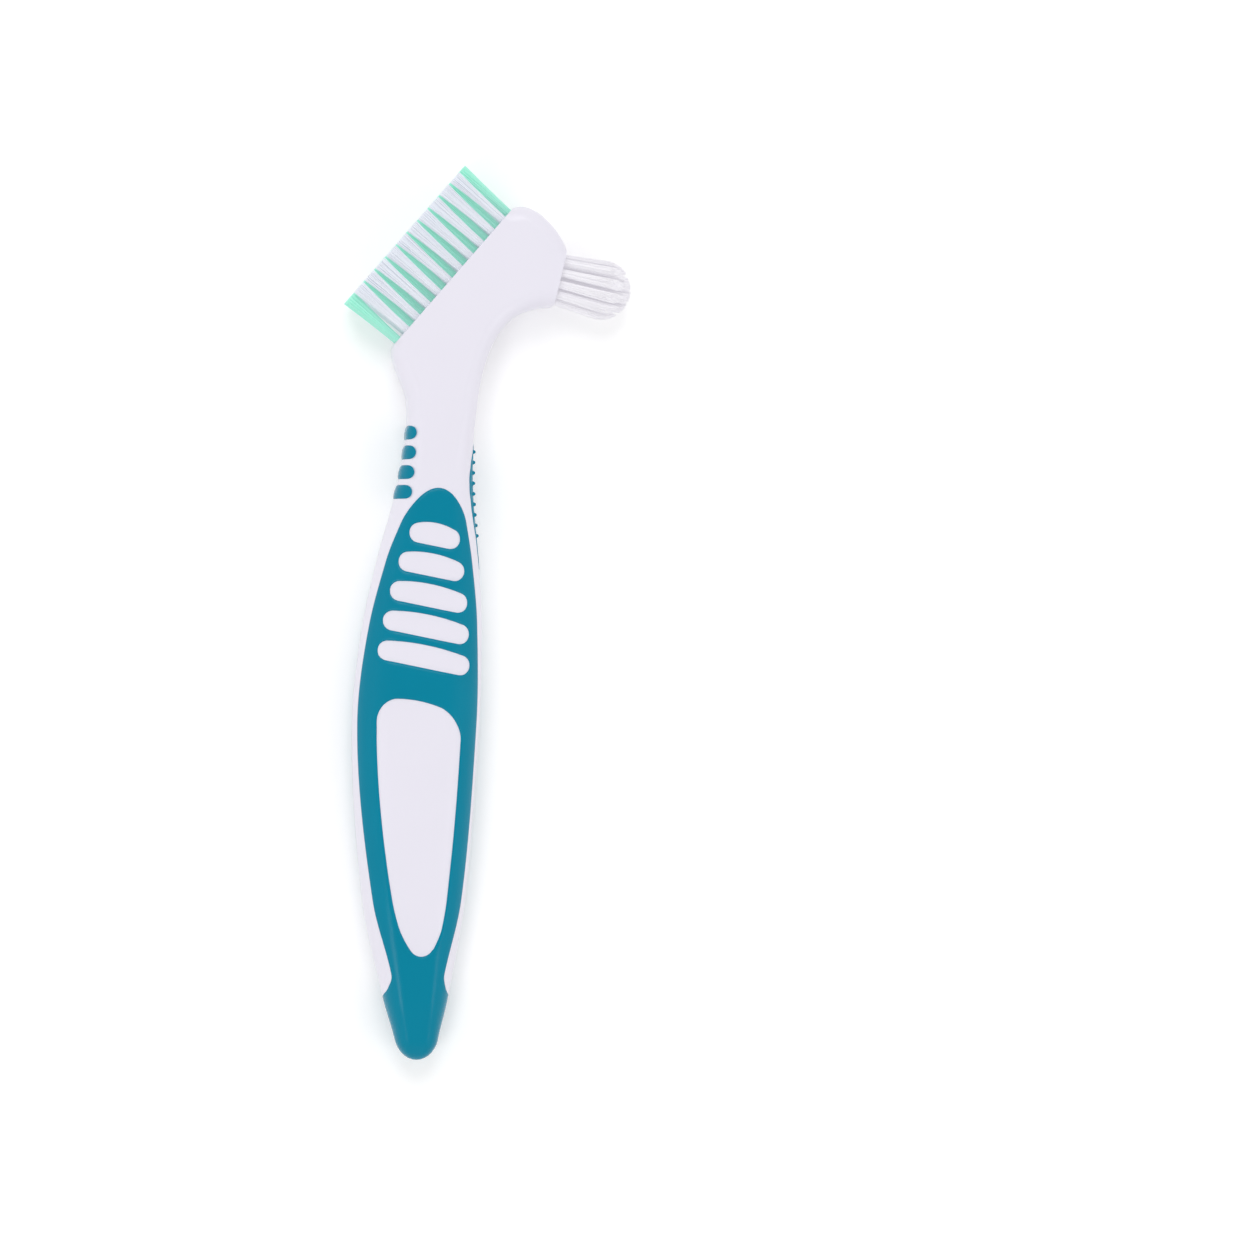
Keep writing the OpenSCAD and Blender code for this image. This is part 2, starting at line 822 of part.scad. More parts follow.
// Trimmed outer form of the small brush: a round post with a domed end
module small_dome_form() {
    rotate_extrude()
        polygon(concat(
            [[0, -hole_depth], [small_dome, -hole_depth]],
            [for (a = [0:15:90]) [small_dome * cos(a), small_length - small_dome + small_dome * sin(a)]]
        ));
}

module small_bundles(places, lean) {
    color(frost)
        in_frame()
            on_small_face()
                intersection() {
                    union()
                        for (place = places)
                            translate([place[0], place[1], 0])
                                bundle(small_hole, small_tip, small_length, lean, place[2]);
                    small_dome_form();
                }
}

module handle_core() {
    color(white)
        in_frame()
            difference() {
                body_skin();
                soft_seats();
                translate([large_centre.x, large_centre.y, -head_thickness])
                    rotate([0, 0, large_angle])
                        translate([-large_face_length, 0, 0])
                            cube([2 * large_face_length, 2 * over, 2 * head_thickness]);
                translate([small_centre.x, small_centre.y, -head_thickness])
                    rotate([0, 0, -small_angle])
                        translate([0, -small_face_width, 0])
                            cube([2 * over, 2 * small_face_width, 2 * head_thickness]);
                on_large_face()
                    for (row = [1:5]) holes(large_places(row), large_hole);
                on_small_face()
                    holes(concat([[0, 0]], inner_places, outer_places), small_hole);
            }
}

module soft_grip() {
    color(teal)
        in_frame()
            difference() {
                intersection() {
                    handle_skin(section_heights(0, throat_y + over), [0, -grip_rise]);
                    through_both_faces() grip_outline();
                }
                windows();
                under_skin(0, throat_y);
            }
}

module thumb_pad() {
    color(teal)
        in_frame()
            union() {
                difference() {
                    intersection() {
                        handle_skin(section_heights(thumb_tail - over, thumb_top + over), [-thumb_rise, 0]);
                        leaf_prism();
                    }
                    under_skin(thumb_tail, thumb_top);
                }
                nubs();
            }
}

module finger_rib(number) {
    y = root_y - first_rib_drop - number * rib_pitch;
    color(teal)
        in_frame()
            difference() {
                intersection() {
                    rib_skin(number);
                    rib_prism(number);
                }
                under_skin(y - rib_height, y + rib_height);
            }
}

module finger_rib_1() finger_rib(0);
module finger_rib_2() finger_rib(1);
module finger_rib_3() finger_rib(2);
module finger_rib_4() finger_rib(3);

module large_tufts_row_1() large_row(1);
module large_tufts_row_2() large_row(2);
module large_tufts_row_3() large_row(3);
module large_tufts_row_4() large_row(4);
module large_tufts_row_5() large_row(5);

module large_anchors_row_1() large_row_anchors(1);
module large_anchors_row_2() large_row_anchors(2);
module large_anchors_row_3() large_row_anchors(3);
module large_anchors_row_4() large_row_anchors(4);
module large_anchors_row_5() large_row_anchors(5);

module small_tufts_centre() small_bundles([[0, 0, 0]], 0);
module small_tufts_inner() small_bundles(inner_places, outer_lean * inner_ring / outer_ring);
module small_tufts_outer() small_bundles(outer_places, outer_lean);

module small_anchors() {
    color(steel)
        in_frame()
            on_small_face()
                anchors(concat([[0, 0]], inner_places, outer_places), small_hole);
}

handle_core();
soft_grip();
thumb_pad();
finger_rib_1();
finger_rib_2();
finger_rib_3();
finger_rib_4();
large_tufts_row_1();
large_tufts_row_2();
large_tufts_row_3();
large_tufts_row_4();
large_tufts_row_5();
small_tufts_centre();
small_tufts_inner();
small_tufts_outer();
large_anchors_row_1();
large_anchors_row_2();
large_anchors_row_3();
large_anchors_row_4();
large_anchors_row_5();
small_anchors();
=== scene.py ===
import math
import random

import bpy
from bpy.props import FloatProperty, FloatVectorProperty, IntProperty, PointerProperty
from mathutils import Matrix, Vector
from mathutils.geometry import delaunay_2d_cdt
from mathutils.kdtree import KDTree


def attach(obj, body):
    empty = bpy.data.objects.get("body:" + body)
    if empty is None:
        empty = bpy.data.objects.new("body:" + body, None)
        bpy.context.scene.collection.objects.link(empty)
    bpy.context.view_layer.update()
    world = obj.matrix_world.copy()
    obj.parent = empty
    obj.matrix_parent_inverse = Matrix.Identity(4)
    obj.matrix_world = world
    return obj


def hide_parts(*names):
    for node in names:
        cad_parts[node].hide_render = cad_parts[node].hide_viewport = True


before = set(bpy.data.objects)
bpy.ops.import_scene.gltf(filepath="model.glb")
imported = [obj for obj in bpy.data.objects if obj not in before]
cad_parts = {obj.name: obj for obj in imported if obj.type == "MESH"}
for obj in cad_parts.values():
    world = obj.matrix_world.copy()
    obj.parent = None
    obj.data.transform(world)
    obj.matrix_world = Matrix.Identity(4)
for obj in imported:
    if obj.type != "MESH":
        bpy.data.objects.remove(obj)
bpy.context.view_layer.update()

bl_info = {
    "name": "Denture brush",
    "version": (1, 0, 0),
    "blender": (4, 5, 0),
    "location": "3D View > Sidebar > Denture brush",
    "description": "Dresses a two-headed denture brush: moulded core, soft grip and filled bristle heads",
    "category": "Object",
}

MM = 0.001
UP = Vector((0, 0, 1))
# Height of the part's middle plane, in millimetres
MID_Z = 7.5

# The two brush faces in the part's frame, in millimetres
LARGE_ANGLE = math.radians(49.0)
LARGE_OUT = Vector((-math.sin(LARGE_ANGLE), math.cos(LARGE_ANGLE), 0.0))
LARGE_ALONG = Vector((math.cos(LARGE_ANGLE), math.sin(LARGE_ANGLE), 0.0))
SMALL_ANGLE = math.radians(13.5)
SMALL_OUT = Vector((math.cos(SMALL_ANGLE), -math.sin(SMALL_ANGLE), 0.0))
SMALL_ALONG = Vector((math.sin(SMALL_ANGLE), math.cos(SMALL_ANGLE), 0.0))
MIDDLE = Vector((0.0, 0.0, MID_Z))
LARGE_FACE = MIDDLE + LARGE_OUT * 7.9
SMALL_FACE = MIDDLE + SMALL_OUT * 13.7 + SMALL_ALONG * 8.0

# Places of the bundles, in millimetres and degrees: even rows of the large face have a bundle more than
# the odd ones, and their end bundles stand out further than the pitch
ROWS = range(1, 6)
MIDDLE_ROW = 3
ROW_PITCH = 2.8
LARGE_PITCH = 3.25
LOW_END_STEP = 0.9
HIGH_END_STEP = 0.4
INNER_RING = 2.3
INNER_COUNT = 6
OUTER_RING = 4.45
OUTER_COUNT = 12
RING_TURN = 15.0
# How far the outer ring's bundles lean, as a share of their length
OUTER_LEAN = math.tan(math.radians(3.6))

# Radius of a bundle's foot, radius inside which the edge of its hole lies, and depth of the feet, all in
# millimetres
LARGE_FOOT = 0.74
LARGE_HOLE = 0.97
SMALL_FOOT = 0.8
SMALL_HOLE = 0.87
FOOT_DEPTH = 1.2

# Filaments: sides and cuts of each, taper, turn in radians from one to the next in a bundle, share of the
# filaments that a small bundle has, and how far a large bundle is drawn in at its waist, in metres
STRAND_SIDES = 5
STRAND_CUTS = (0.34, 0.7, 0.985)
STRAND_TAPER = 0.18
GOLDEN_ANGLE = 2.399963
SMALL_SHARE = 0.85
LARGE_WAIST = 0.00011
# Chance play of the filaments: turn in radians, reach as a share, sway and length in metres
TURN_PLAY = 0.12
REACH_PLAY = (0.97, 1.02)
SWAY_PLAY = 0.00004
BUNDLE_TRIM = (-0.00008, 0.00002)
LARGE_TRIM = (-0.00009, 0.0)
SMALL_TRIM = (-0.00012, 0.0)

# Edges sharper than the first angle are rounded, and those flatter than the second shaded smooth; degrees
SHARP_ANGLE = 40.0
SMOOTH_ANGLE = 34.0
# Points closer than this are one, and points closer than this to a brush face lie on it, in metres
MERGE_DISTANCE = 0.000002
FACE_DISTANCE = 0.000005
# A facet follows a form where the cosine between their normals is above this
FACE_MATCH = 0.999
FLAT_MATCH = 0.9998
SKIN_MATCH = 0.86


class BrushSettings(bpy.types.PropertyGroup):
    """Sizes and colours of the denture brush"""

    core_colour: FloatVectorProperty(
        name="Core colour", description="Colour of the moulded white core",
        subtype="COLOR", size=3, min=0.0, max=1.0, default=(0.846, 0.823, 0.913))
    grip_colour: FloatVectorProperty(
        name="Grip colour", description="Colour of the soft grip, thumb pad and finger ribs",
        subtype="COLOR", size=3, min=0.0, max=1.0, default=(0.0, 0.226, 0.345))
    mint_colour: FloatVectorProperty(
        name="Mint bristle colour", description="Colour of the mint green filaments",
        subtype="COLOR", size=3, min=0.0, max=1.0, default=(0.35, 0.71, 0.60))
    frost_colour: FloatVectorProperty(
        name="Clear bristle colour", description="Colour of the frosty white filaments",
        subtype="COLOR", size=3, min=0.0, max=1.0, default=(0.74, 0.765, 0.82))
    anchor_colour: FloatVectorProperty(
        name="Anchor colour", description="Colour of the metal plates that hold the bundles",
        subtype="COLOR", size=3, min=0.0, max=1.0, default=(0.60, 0.52, 0.36))
    edge_softness: FloatProperty(
        name="Edge softness", description="Width of the rounding on the moulded edges",
        default=0.00012, min=0.0, max=0.0005, subtype="DISTANCE", unit="LENGTH")
    large_length: FloatProperty(
        name="Large bristle length", description="Length of the large brush's filaments above its face",
        default=0.0129, min=0.009, max=0.015, subtype="DISTANCE", unit="LENGTH")
    large_spread: FloatProperty(
        name="Large bundle spread", description="Radius of a large bundle at its tips",
        default=0.00153, min=0.001, max=0.0016, subtype="DISTANCE", unit="LENGTH")
    small_length: FloatProperty(
        name="Small bristle length", description="Length of the small brush in its middle",
        default=0.0148, min=0.012, max=0.017, subtype="DISTANCE", unit="LENGTH")
    small_spread: FloatProperty(
        name="Small bundle spread", description="Radius of a small bundle at its tips",
        default=0.00118, min=0.0009, max=0.0013, subtype="DISTANCE", unit="LENGTH")
    dome_radius: FloatProperty(
        name="Dome radius", description="Radius of the domed end of the small brush",
        default=0.0064, min=0.006, max=0.007, subtype="DISTANCE", unit="LENGTH")
    strand_radius: FloatProperty(
        name="Filament radius", description="Radius of one filament",
        default=0.00012, min=0.00006, max=0.0002, subtype="DISTANCE", unit="LENGTH")
    strands: IntProperty(
        name="Filaments per bundle", description="Number of filaments in each bundle",
        default=64, min=12, max=120)
    key_power: FloatProperty(
        name="Key light", description="Power of the large soft light at the upper left",
        default=3.6, min=0.0, max=50.0, unit="POWER")
    room_light: FloatProperty(
        name="Room light", description="Strength of the even light from all round",
        default=0.73, min=0.0, max=2.0)


def settings():
    return bpy.context.scene.denture_brush


# ---- selecting and finishing

def select_only(piece):
    if bpy.context.object and bpy.context.object.mode != "OBJECT":
        bpy.ops.object.mode_set(mode="OBJECT")
    bpy.ops.object.select_all(action="DESELECT")
    piece.select_set(True)
    bpy.context.view_layer.objects.active = piece


def seat_on_frame(piece, nodes, material):
    piece.data.materials.clear()
    piece.data.materials.append(material)
    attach(piece, "root")
    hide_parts(*nodes)


def copy_of(node, name):
    """A merged copy of a CAD node, ready to be smoothed."""
    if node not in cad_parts:
        raise RuntimeError("the frame has no node named " + node)
    piece = bpy.data.objects.new(name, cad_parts[node].data.copy())
    bpy.context.scene.collection.objects.link(piece)
    select_only(piece)
    bpy.ops.object.mode_set(mode="EDIT")
    bpy.ops.mesh.select_all(action="SELECT")
    bpy.ops.mesh.remove_doubles(threshold=MERGE_DISTANCE)
    bpy.ops.mesh.dissolve_limited(angle_limit=math.radians(0.3))
    bpy.ops.object.mode_set(mode="OBJECT")
    return piece


def round_rims(piece, width):
    """Rounds the rims of the core's two brush faces, leaves their holes crisp and smooths the rest."""
    large = [large_centre(row, along) for row in ROWS for along in large_places(row)]
    small = [(SMALL_FACE + SMALL_ALONG * along + UP * up) * MM for along, up in
             [(0.0, 0.0)] + ring(INNER_RING, INNER_COUNT) + ring(OUTER_RING, OUTER_COUNT)]
    mesh = piece.data
    normals = [p.normal.copy() for p in mesh.polygons]
    sides = {}
    for p in mesh.polygons:
        for key in p.edge_keys:
            sides.setdefault(key, []).append(p.index)
    chosen = set()
    for face, out, holes, hole in ((LARGE_FACE, LARGE_OUT, large, LARGE_HOLE),
                                   (SMALL_FACE, SMALL_OUT, small, SMALL_HOLE)):
        flat = {v.index for v in mesh.vertices if abs((v.co - face * MM).dot(out)) < FACE_DISTANCE
                and min((v.co - h).length for h in holes) > hole * MM}
        for key, pair in sides.items():
            if key[0] in flat and key[1] in flat and len(pair) == 2:
                level = [normals[k].dot(out) > FACE_MATCH for k in pair]
                if level[0] != level[1]:
                    chosen.add(key)
    select_only(piece)
    bpy.ops.object.mode_set(mode="EDIT")
    bpy.ops.mesh.select_mode(type="EDGE")
    bpy.ops.mesh.select_all(action="DESELECT")
    bpy.ops.object.mode_set(mode="OBJECT")
    for edge in mesh.edges:
        edge.select = tuple(sorted(edge.vertices)) in chosen
    bpy.ops.object.mode_set(mode="EDIT")
    bpy.ops.mesh.bevel(offset=width, segments=2, affect="EDGES", clamp_overlap=False)
    bpy.ops.object.mode_set(mode="OBJECT")
    bpy.ops.object.shade_smooth_by_angle(angle=math.radians(SMOOTH_ANGLE), keep_sharp_edges=False)


def true_skin(piece):
    """Gives the core's facets the normals of the flat or curved form that they follow, and leaves alone
    those that turn away from it, such as a hole's or a recess's walls."""
    mesh = piece.data
    corners = [Vector((0, 0, 0))] * len(mesh.loops)
    for p in mesh.polygons:
        flat = [out for out in (LARGE_OUT, SMALL_OUT) if p.normal.dot(out) > FLAT_MATCH]
        for k in p.loop_indices:
            if flat:
                corners[k] = flat[0]
                continue
            at = mesh.vertices[mesh.loops[k].vertex_index].co / MM
            x, y, z = at.x + HUB[0], at.y + HUB[1], at.z - MID_Z
            if y > ROOT:
                normal = Vector((0, 0, math.copysign(1, z))) if abs(z) > MID_Z - 0.001 else None
            else:
                normal = skin_normal(x, min(ROOT, max(TAIL_LOW, y)), z)
            if normal and normal.dot(p.normal) > SKIN_MATCH:
                corners[k] = normal
    mesh.normals_split_custom_set(corners)


def skin_normal(x, y, z):
    """Outward direction of the handle's curved skin near a place on it."""
    wide, half, wall, inset, bend = section(y)
    across, up = abs(x - spine_x(y)) - (wide - inset), abs(z) - wall
    if across <= 0:
        girth = across + wide - inset
    elif up <= 0:
        girth = wide - inset + bend + min(wall, -up)
    else:
        girth = wide - inset + bend * (1 - math.atan2(up / (half - wall), across / inset) / (math.pi / 2))
    girth = math.copysign(girth, x - spine_x(y))
    if abs(girth) + FINE_STEP > seam_at(y):
        return Vector((math.copysign(1, girth), 0, 0))
    a = Vector(skin_point(girth - FINE_STEP, y, 0.0))
    b = Vector(skin_point(girth + FINE_STEP, y, 0.0))
    c = Vector(skin_point(girth, max(TAIL_LOW, y - FINE_STEP), 0.0))
    d = Vector(skin_point(girth, min(ROOT, y + FINE_STEP), 0.0))
    normal = (b - a).cross(d - c)
    if normal.length < 1e-9:
        return None
    normal.normalize()
    if z < 0:
        normal.z = -normal.z
    return normal


def soften(piece, width):
    """Rounds the sharp edges of a piece and smooths the rest."""
    select_only(piece)
    if width > 0:
        bevel = piece.modifiers.new("Soft edges", "BEVEL")
        bevel.width = width
        bevel.segments = 2
        bevel.limit_method = "ANGLE"
        bevel.angle_limit = math.radians(SHARP_ANGLE)
        bevel.loop_slide = False
        bpy.ops.object.modifier_apply(modifier=bevel.name)
    bpy.ops.object.shade_smooth_by_angle(angle=math.radians(SMOOTH_ANGLE), keep_sharp_edges=False)


# ---- the handle's and the soft grip's form, in millimetres from the tail tip in the middle plane

# Where the part's origin lies, seen from there
HUB = (14.0, 152.2)
# Heights: lowest one with a sound section, top of the tail sleeve, lower palm, top of the grip, head's root
TAIL_LOW = 0.13
SLEEVE_TOP = 12.6
LOWER = 32.2
THROAT = 114.7
ROOT = 132.6
# Fine step for slopes, searches and clearances
FINE_STEP = 0.05
# Stations along the handle, each a height and a measure there
WIDTHS = [(0, 7.7), (12.6, 13.1), (32.2, 20.7), (67.2, 25.6), (87.2, 24.0), (100.2, 20.4), (114.7, 15.2),
          (126.6, 13.3), (132.6, 14.1)]
THICKNESSES = [(0, 6.324), (12.6, 10.2), (32.2, 13.0), (67.2, 14.4), (114.7, 12.8), (132.6, 15.0)]
LEANS = [(0, 0.6), (12.6, 0.36), (32.2, 0.0), (67.2, 0.4), (100.2, 2.8), (126.6, 5.35), (132.6, 5.65)]
WALLS = [(0, 0.3), (67.2, 0.3), (114.7, 1.2), (132.6, 4.5)]
SHOULDERS = [(0, 0.62), (67.2, 0.62), (114.7, 0.62), (132.6, 6.0 / 14.1)]
MARGINS = [(12.6, -0.05), (14.48, 1.125), (17.3, 2.25), (32.2, 1.45), (67.2, 0.85), (100.2, 1.6),
           (114.7, 2.7)]
SHIFTS = [(12.6, 0.0), (17.3, 0.4), (32.2, 0.5), (67.2, 0.1), (100.2, 0.09), (114.7, 0.45)]
# Rounding of the tail tip along the handle and across it, rounding of the grip's top, and the grip's rise
TIP_ROUND = 4.0
TIP_REACH = 3.4
TOP_ROUND = 7.0
GRIP_RISE = 0.3
# The five slots, counted from the top
SLOT_COUNT = 5
SLOT_FIRST = 9.5
SLOT_PITCH = 6.1
SLOT_HEIGHT = 3.9
SLOT_MARGIN = 2.2
SLOT_SHIFT = 0.5
SLOT_TILT = math.tan(math.radians(11.5))
SLOT_ARCH = 0.6
# The long window
WINDOW_TOP = THROAT - 44.2
WINDOW_BOTTOM = SLEEVE_TOP + 7.4
WINDOW_MARGIN = 3.4
WINDOW_SHIFT = 0.3
WINDOW_ROUND = 7.0
WINDOW_CORNER = 4.2
WINDOW_ARCH = 1.65
WINDOW_TOE = 2.5
# How far the grip's edge reaches over the core, and the share of its rise that it has there
EDGE_LAP = 0.03
EDGE_SHARE = 0.16
# Spacing of the edge's points, rings of points beside it out to the full rise, and the grid beyond
POINT_STEP = 0.45
RINGS = (0.05, 0.14, 0.3, 0.52, 0.8)
GRID_STEP = 0.75
# Samples of each edge piece for measuring distances, and steps along the side seam and round the tip
NEAR_SAMPLES = 10
SEAM_STEPS = 28
TIP_STEPS = 8
# How deep the hidden inner skin lies, and how far short of the tip it ends
INNER_DEPTH = 0.45
INNER_TIP = 0.6


def curve_at(stations, y):
    """Smooth curve through a list of stations, level at both ends."""
    i = max([0] + [k for k in range(len(stations) - 1) if y >= stations[k][0]])
    span = stations[i + 1][0] - stations[i][0]
    u = min(1.0, max(0.0, (y - stations[i][0]) / span))

    def slope(k):
        if k == 0 or k == len(stations) - 1:
            return 0.0
        return (stations[k + 1][1] - stations[k - 1][1]) / (stations[k + 1][0] - stations[k - 1][0])

    return ((1 + 2 * u) * (1 - u) ** 2 * stations[i][1] + u * (1 - u) ** 2 * span * slope(i)
            + u * u * (3 - 2 * u) * stations[i + 1][1] + u * u * (u - 1) * span * slope(i + 1))


def tip_share(y):
    return 1.0 if y >= TIP_ROUND else max(0.25, math.sqrt(max(0.0, 1 - (1 - y / TIP_ROUND) ** 2)))


def spine_x(y):
    return curve_at(LEANS, y)


def half_width(y):
    return tip_share(y) * curve_at(WIDTHS, y) / 2


def section(y):
    """Half width, half thickness, side wall, rounding and the length of the rounding at a height."""
    wide = half_width(y)
    half = tip_share(y) * curve_at(THICKNESSES, y) / 2
    wall = max(0.2, min(curve_at(WALLS, y), half - 1))
    wall = min(wall, half * 0.9)
    inset = wide * curve_at(SHOULDERS, y)
    bend = math.pi / 2 * math.sqrt((inset ** 2 + (half - wall) ** 2) / 2)
    return wide, half, wall, inset, bend


def seam_at(y):
    """Girth from the middle of the broad face to the side seam."""
    wide, half, wall, inset, bend = section(y)
    return wide - inset + bend + wall


def girth_at(x, y):
    """Girth from the middle of the broad face to a place seen from the front."""
    wide, half, wall, inset, bend = section(y)
    rel = x - spine_x(y)
    reach = min(abs(rel), wide)
    if reach > wide - inset:
        turn = math.acos(1 - (wide - reach) / inset)
        reach = wide - inset + bend * (1 - turn / (math.pi / 2))
    return math.copysign(reach, rel)


def skin_point(girth, y, lift, deep=0.0):
    """Place on the handle: lift raises the broad face, deep sinks the whole section."""
    wide, half, wall, inset, bend = section(y)
    reach = abs(girth)
    flat = wide - inset
    top = half + lift - 2.0 * deep
    if reach <= flat:
        x, z = reach, top
    elif reach <= flat + bend:
        turn = math.pi / 2 * (1 - (reach - flat) / bend)
        x = wide - inset * (1 - math.cos(turn))
        z = wall + (top - wall) * math.sin(turn)
    else:
        x, z = wide, max(0.0, wall - (reach - flat - bend))
    x *= 1 - deep / wide
    return spine_x(y) + math.copysign(x, girth), y, z


def grip_x(y):
    return spine_x(y) + curve_at(SHIFTS, y)


def grip_half(y):
    u = (y - THROAT + TOP_ROUND) / TOP_ROUND
    share = 1.0 if u <= 0 else math.sqrt(max(0.0, 1 - u * u))
    return share * (half_width(y) - curve_at(MARGINS, y))


def tilted(x, half, arch):
    """Height on an arched line that falls to the right."""
    return -x * SLOT_TILT + arch * (1 - (x / half) ** 2)


def evenly(points, step, closed=True):
    """The same line with points at an even distance."""
    line = points + points[:1] if closed else points
    lengths = [0.0]
    for a, b in zip(line, line[1:]):
        lengths.append(lengths[-1] + math.dist(a, b))
    count = max(4, round(lengths[-1] / step))
    out, k = [], 0
    for i in range(count if closed else count + 1):
        aim = lengths[-1] * i / count
        while k < len(line) - 2 and lengths[k + 1] < aim:
            k += 1
        share = (aim - lengths[k]) / max(1e-9, lengths[k + 1] - lengths[k])
        out.append(tuple(p + (q - p) * share for p, q in zip(line[k], line[k + 1])))
    return out


def slot_line(number):
    """Outline of a slot: a thin arched bar with its ends and edges rounded."""
    y = THROAT - SLOT_FIRST - number * SLOT_PITCH
    r = SLOT_HEIGHT / 2
    flat = grip_half(y) - SLOT_MARGIN - r
    bar = [(-flat, tilted(-flat, flat, 0) - SLOT_ARCH / 4), (flat, tilted(flat, flat, 0) - SLOT_ARCH / 4)]
    bar += [(flat * i / 12, tilted(flat * i / 12, flat, SLOT_ARCH)) for i in range(12, -13, -1)]
    out = []
    for i in range(360):
        d = (math.cos(math.radians(i)), math.sin(math.radians(i)))
        far = max(bar, key=lambda p: p[0] * d[0] + p[1] * d[1])
        out.append((grip_x(y) + SLOT_SHIFT + far[0] + r * d[0], y + far[1] + r * d[1]))
    return out


def window_line():
    """Outline of the long window: curved sides, a tilted arched top with round corners and a round toe."""
    def middle(y):
        bent = max(0.0, (LOWER + WINDOW_ROUND - y) / (LOWER - SLEEVE_TOP))
        return grip_x(y) + WINDOW_SHIFT + 0.5 * bent ** 1.5

    def half_at(y):
        u = (WINDOW_BOTTOM + WINDOW_ROUND - y) / WINDOW_ROUND
        return (1.0 if u <= 0 else math.sqrt(max(0.0, 1 - u * u))) * (grip_half(y) - WINDOW_MARGIN)

    tilt = half_at(WINDOW_TOP) * SLOT_TILT
    low, high = WINDOW_TOP - WINDOW_CORNER - tilt, WINDOW_TOP - WINDOW_CORNER + tilt
    right_end, left_end = middle(low) + half_at(low), middle(high) - half_at(high)
    half, centre = (right_end - left_end) / 2, (right_end + left_end) / 2
    top = []
    for i in range(-60, 61):
        x = half * math.sin(math.radians(1.5 * i))
        u = max(0.0, (abs(x) - half + WINDOW_CORNER) / WINDOW_CORNER)
        drop = WINDOW_CORNER * (1 - math.sqrt(max(0.0, 1 - u * u)))
        y = WINDOW_TOP + tilted(x, half, WINDOW_ARCH) - drop
        if abs(centre + x - middle(y)) < half_at(y):
            top.append((centre + x, y))
    levels = [WINDOW_BOTTOM + WINDOW_ROUND * (1 - math.cos(math.radians(a))) for a in range(2, 90, 2)]
    levels += [WINDOW_BOTTOM + WINDOW_ROUND + 0.25 * i for i in range(400)]
    sides = {}
    for side, end in ((-1, top[0]), (1, top[-1])):
        sides[side] = [(side * min(side * centre + half, side * middle(y) + half_at(y)), y)
                       for y in levels if y < end[1] - FINE_STEP]

    def ball_at(y):
        """Radius of the ball on the middle line up to the nearer side, and the nearest place of each side."""
        near = [min(sides[side], key=lambda p: math.dist(p, (middle(y), y))) for side in (-1, 1)]
        return min(math.dist(p, (middle(y), y)) for p in near), near

    y = WINDOW_BOTTOM + 1.0
    while ball_at(y)[0] < WINDOW_TOE:
        y += FINE_STEP
    (ax, ay), (bx, by) = ball_at(y)[1]
    start, end = math.atan2(ay - y, ax - middle(y)), math.atan2(by - y, bx - middle(y))
    if start > 0:
        start -= math.tau
    toe = [(middle(y) + WINDOW_TOE * math.cos(start + (end - start) * i / 20),
            y + WINDOW_TOE * math.sin(start + (end - start) * i / 20)) for i in range(21)]
    right = [p for p in sides[1] if p[1] > by + FINE_STEP]
    left = [p for p in sides[-1] if p[1] > ay + FINE_STEP]
    return toe + right + top[::-1] + left[::-1]


def run_of(y):
    """Length run along the handle's side, which turns in over the rounded tail end."""
    return y if y >= TIP_ROUND else TIP_ROUND - TIP_REACH * (math.pi / 2 - math.acos(1 - y / TIP_ROUND))


def height_of(run):
    """Height at a length run, the other way round."""
    if run >= TIP_ROUND:
        return run
    return TIP_ROUND * (1 - math.cos(max(0.0, math.pi / 2 - (TIP_ROUND - run) / TIP_REACH)))


def edge_lines():
    """Free edges of one broad side of the grip, laid flat: the outer edge, the slots and the window."""
    levels = [SLEEVE_TOP + (THROAT - TOP_ROUND - SLEEVE_TOP) * i / 300 for i in range(301)]
    levels += [THROAT - TOP_ROUND * (1 - math.sin(math.radians(a))) for a in range(2, 90, 2)]
    right = [(girth_at(grip_x(y) + grip_half(y), y), y) for y in levels]
    left = [(girth_at(grip_x(y) - grip_half(y), y), y) for y in levels]
    seam = seam_at(SLEEVE_TOP)
    top = (girth_at(grip_x(THROAT), THROAT), THROAT)
    outer = [(seam, SLEEVE_TOP)] + right + [top] + left[::-1] + [(-seam, SLEEVE_TOP)]
    holes = [slot_line(number) for number in range(SLOT_COUNT)] + [window_line()]
    return outer, [[(girth_at(x, y), y) for x, y in line] for line in holes]


def beside(line, closed, away):
    """The line moved to its left by a distance."""
    count, out = len(line), []
    for i, (x, y) in enumerate(line):
        ax, ay = line[(i - 1) % count] if closed or i > 0 else line[0]
        bx, by = line[(i + 1) % count] if closed or i < count - 1 else line[-1]
        long = math.hypot(bx - ax, by - ay)
        out.append((x - (by - ay) / long * away, y + (bx - ax) / long * away))
    return out


def within(point, line):
    """Whether a place lies inside a closed line."""
    x, y = point
    inside = False
    for (ax, ay), (bx, by) in zip(line, line[1:] + line[:1]):
        if (ay > y) != (by > y) and x < ax + (bx - ax) * (y - ay) / (by - ay):
            inside = not inside
    return inside


def area_of(line):
    return 0.5 * sum(a[0] * b[1] - b[0] * a[1] for a, b in zip(line, line[1:] + line[:1]))


def nearness(lines):
    """Tree that finds the distance from a place to the nearest of the lines, pairs of a line and closed."""
    near = KDTree(sum(len(line) for line, closed in lines) * NEAR_SAMPLES)
    for line, closed in lines:
        for i, p in enumerate(line if closed else line[:-1]):
            q = line[(i + 1) % len(line)]
            for k in range(NEAR_SAMPLES):
                share = k / NEAR_SAMPLES
                near.insert((p[0] + (q[0] - p[0]) * share, p[1] + (q[1] - p[1]) * share, 0.0), 0)
    near.balance()
    return near


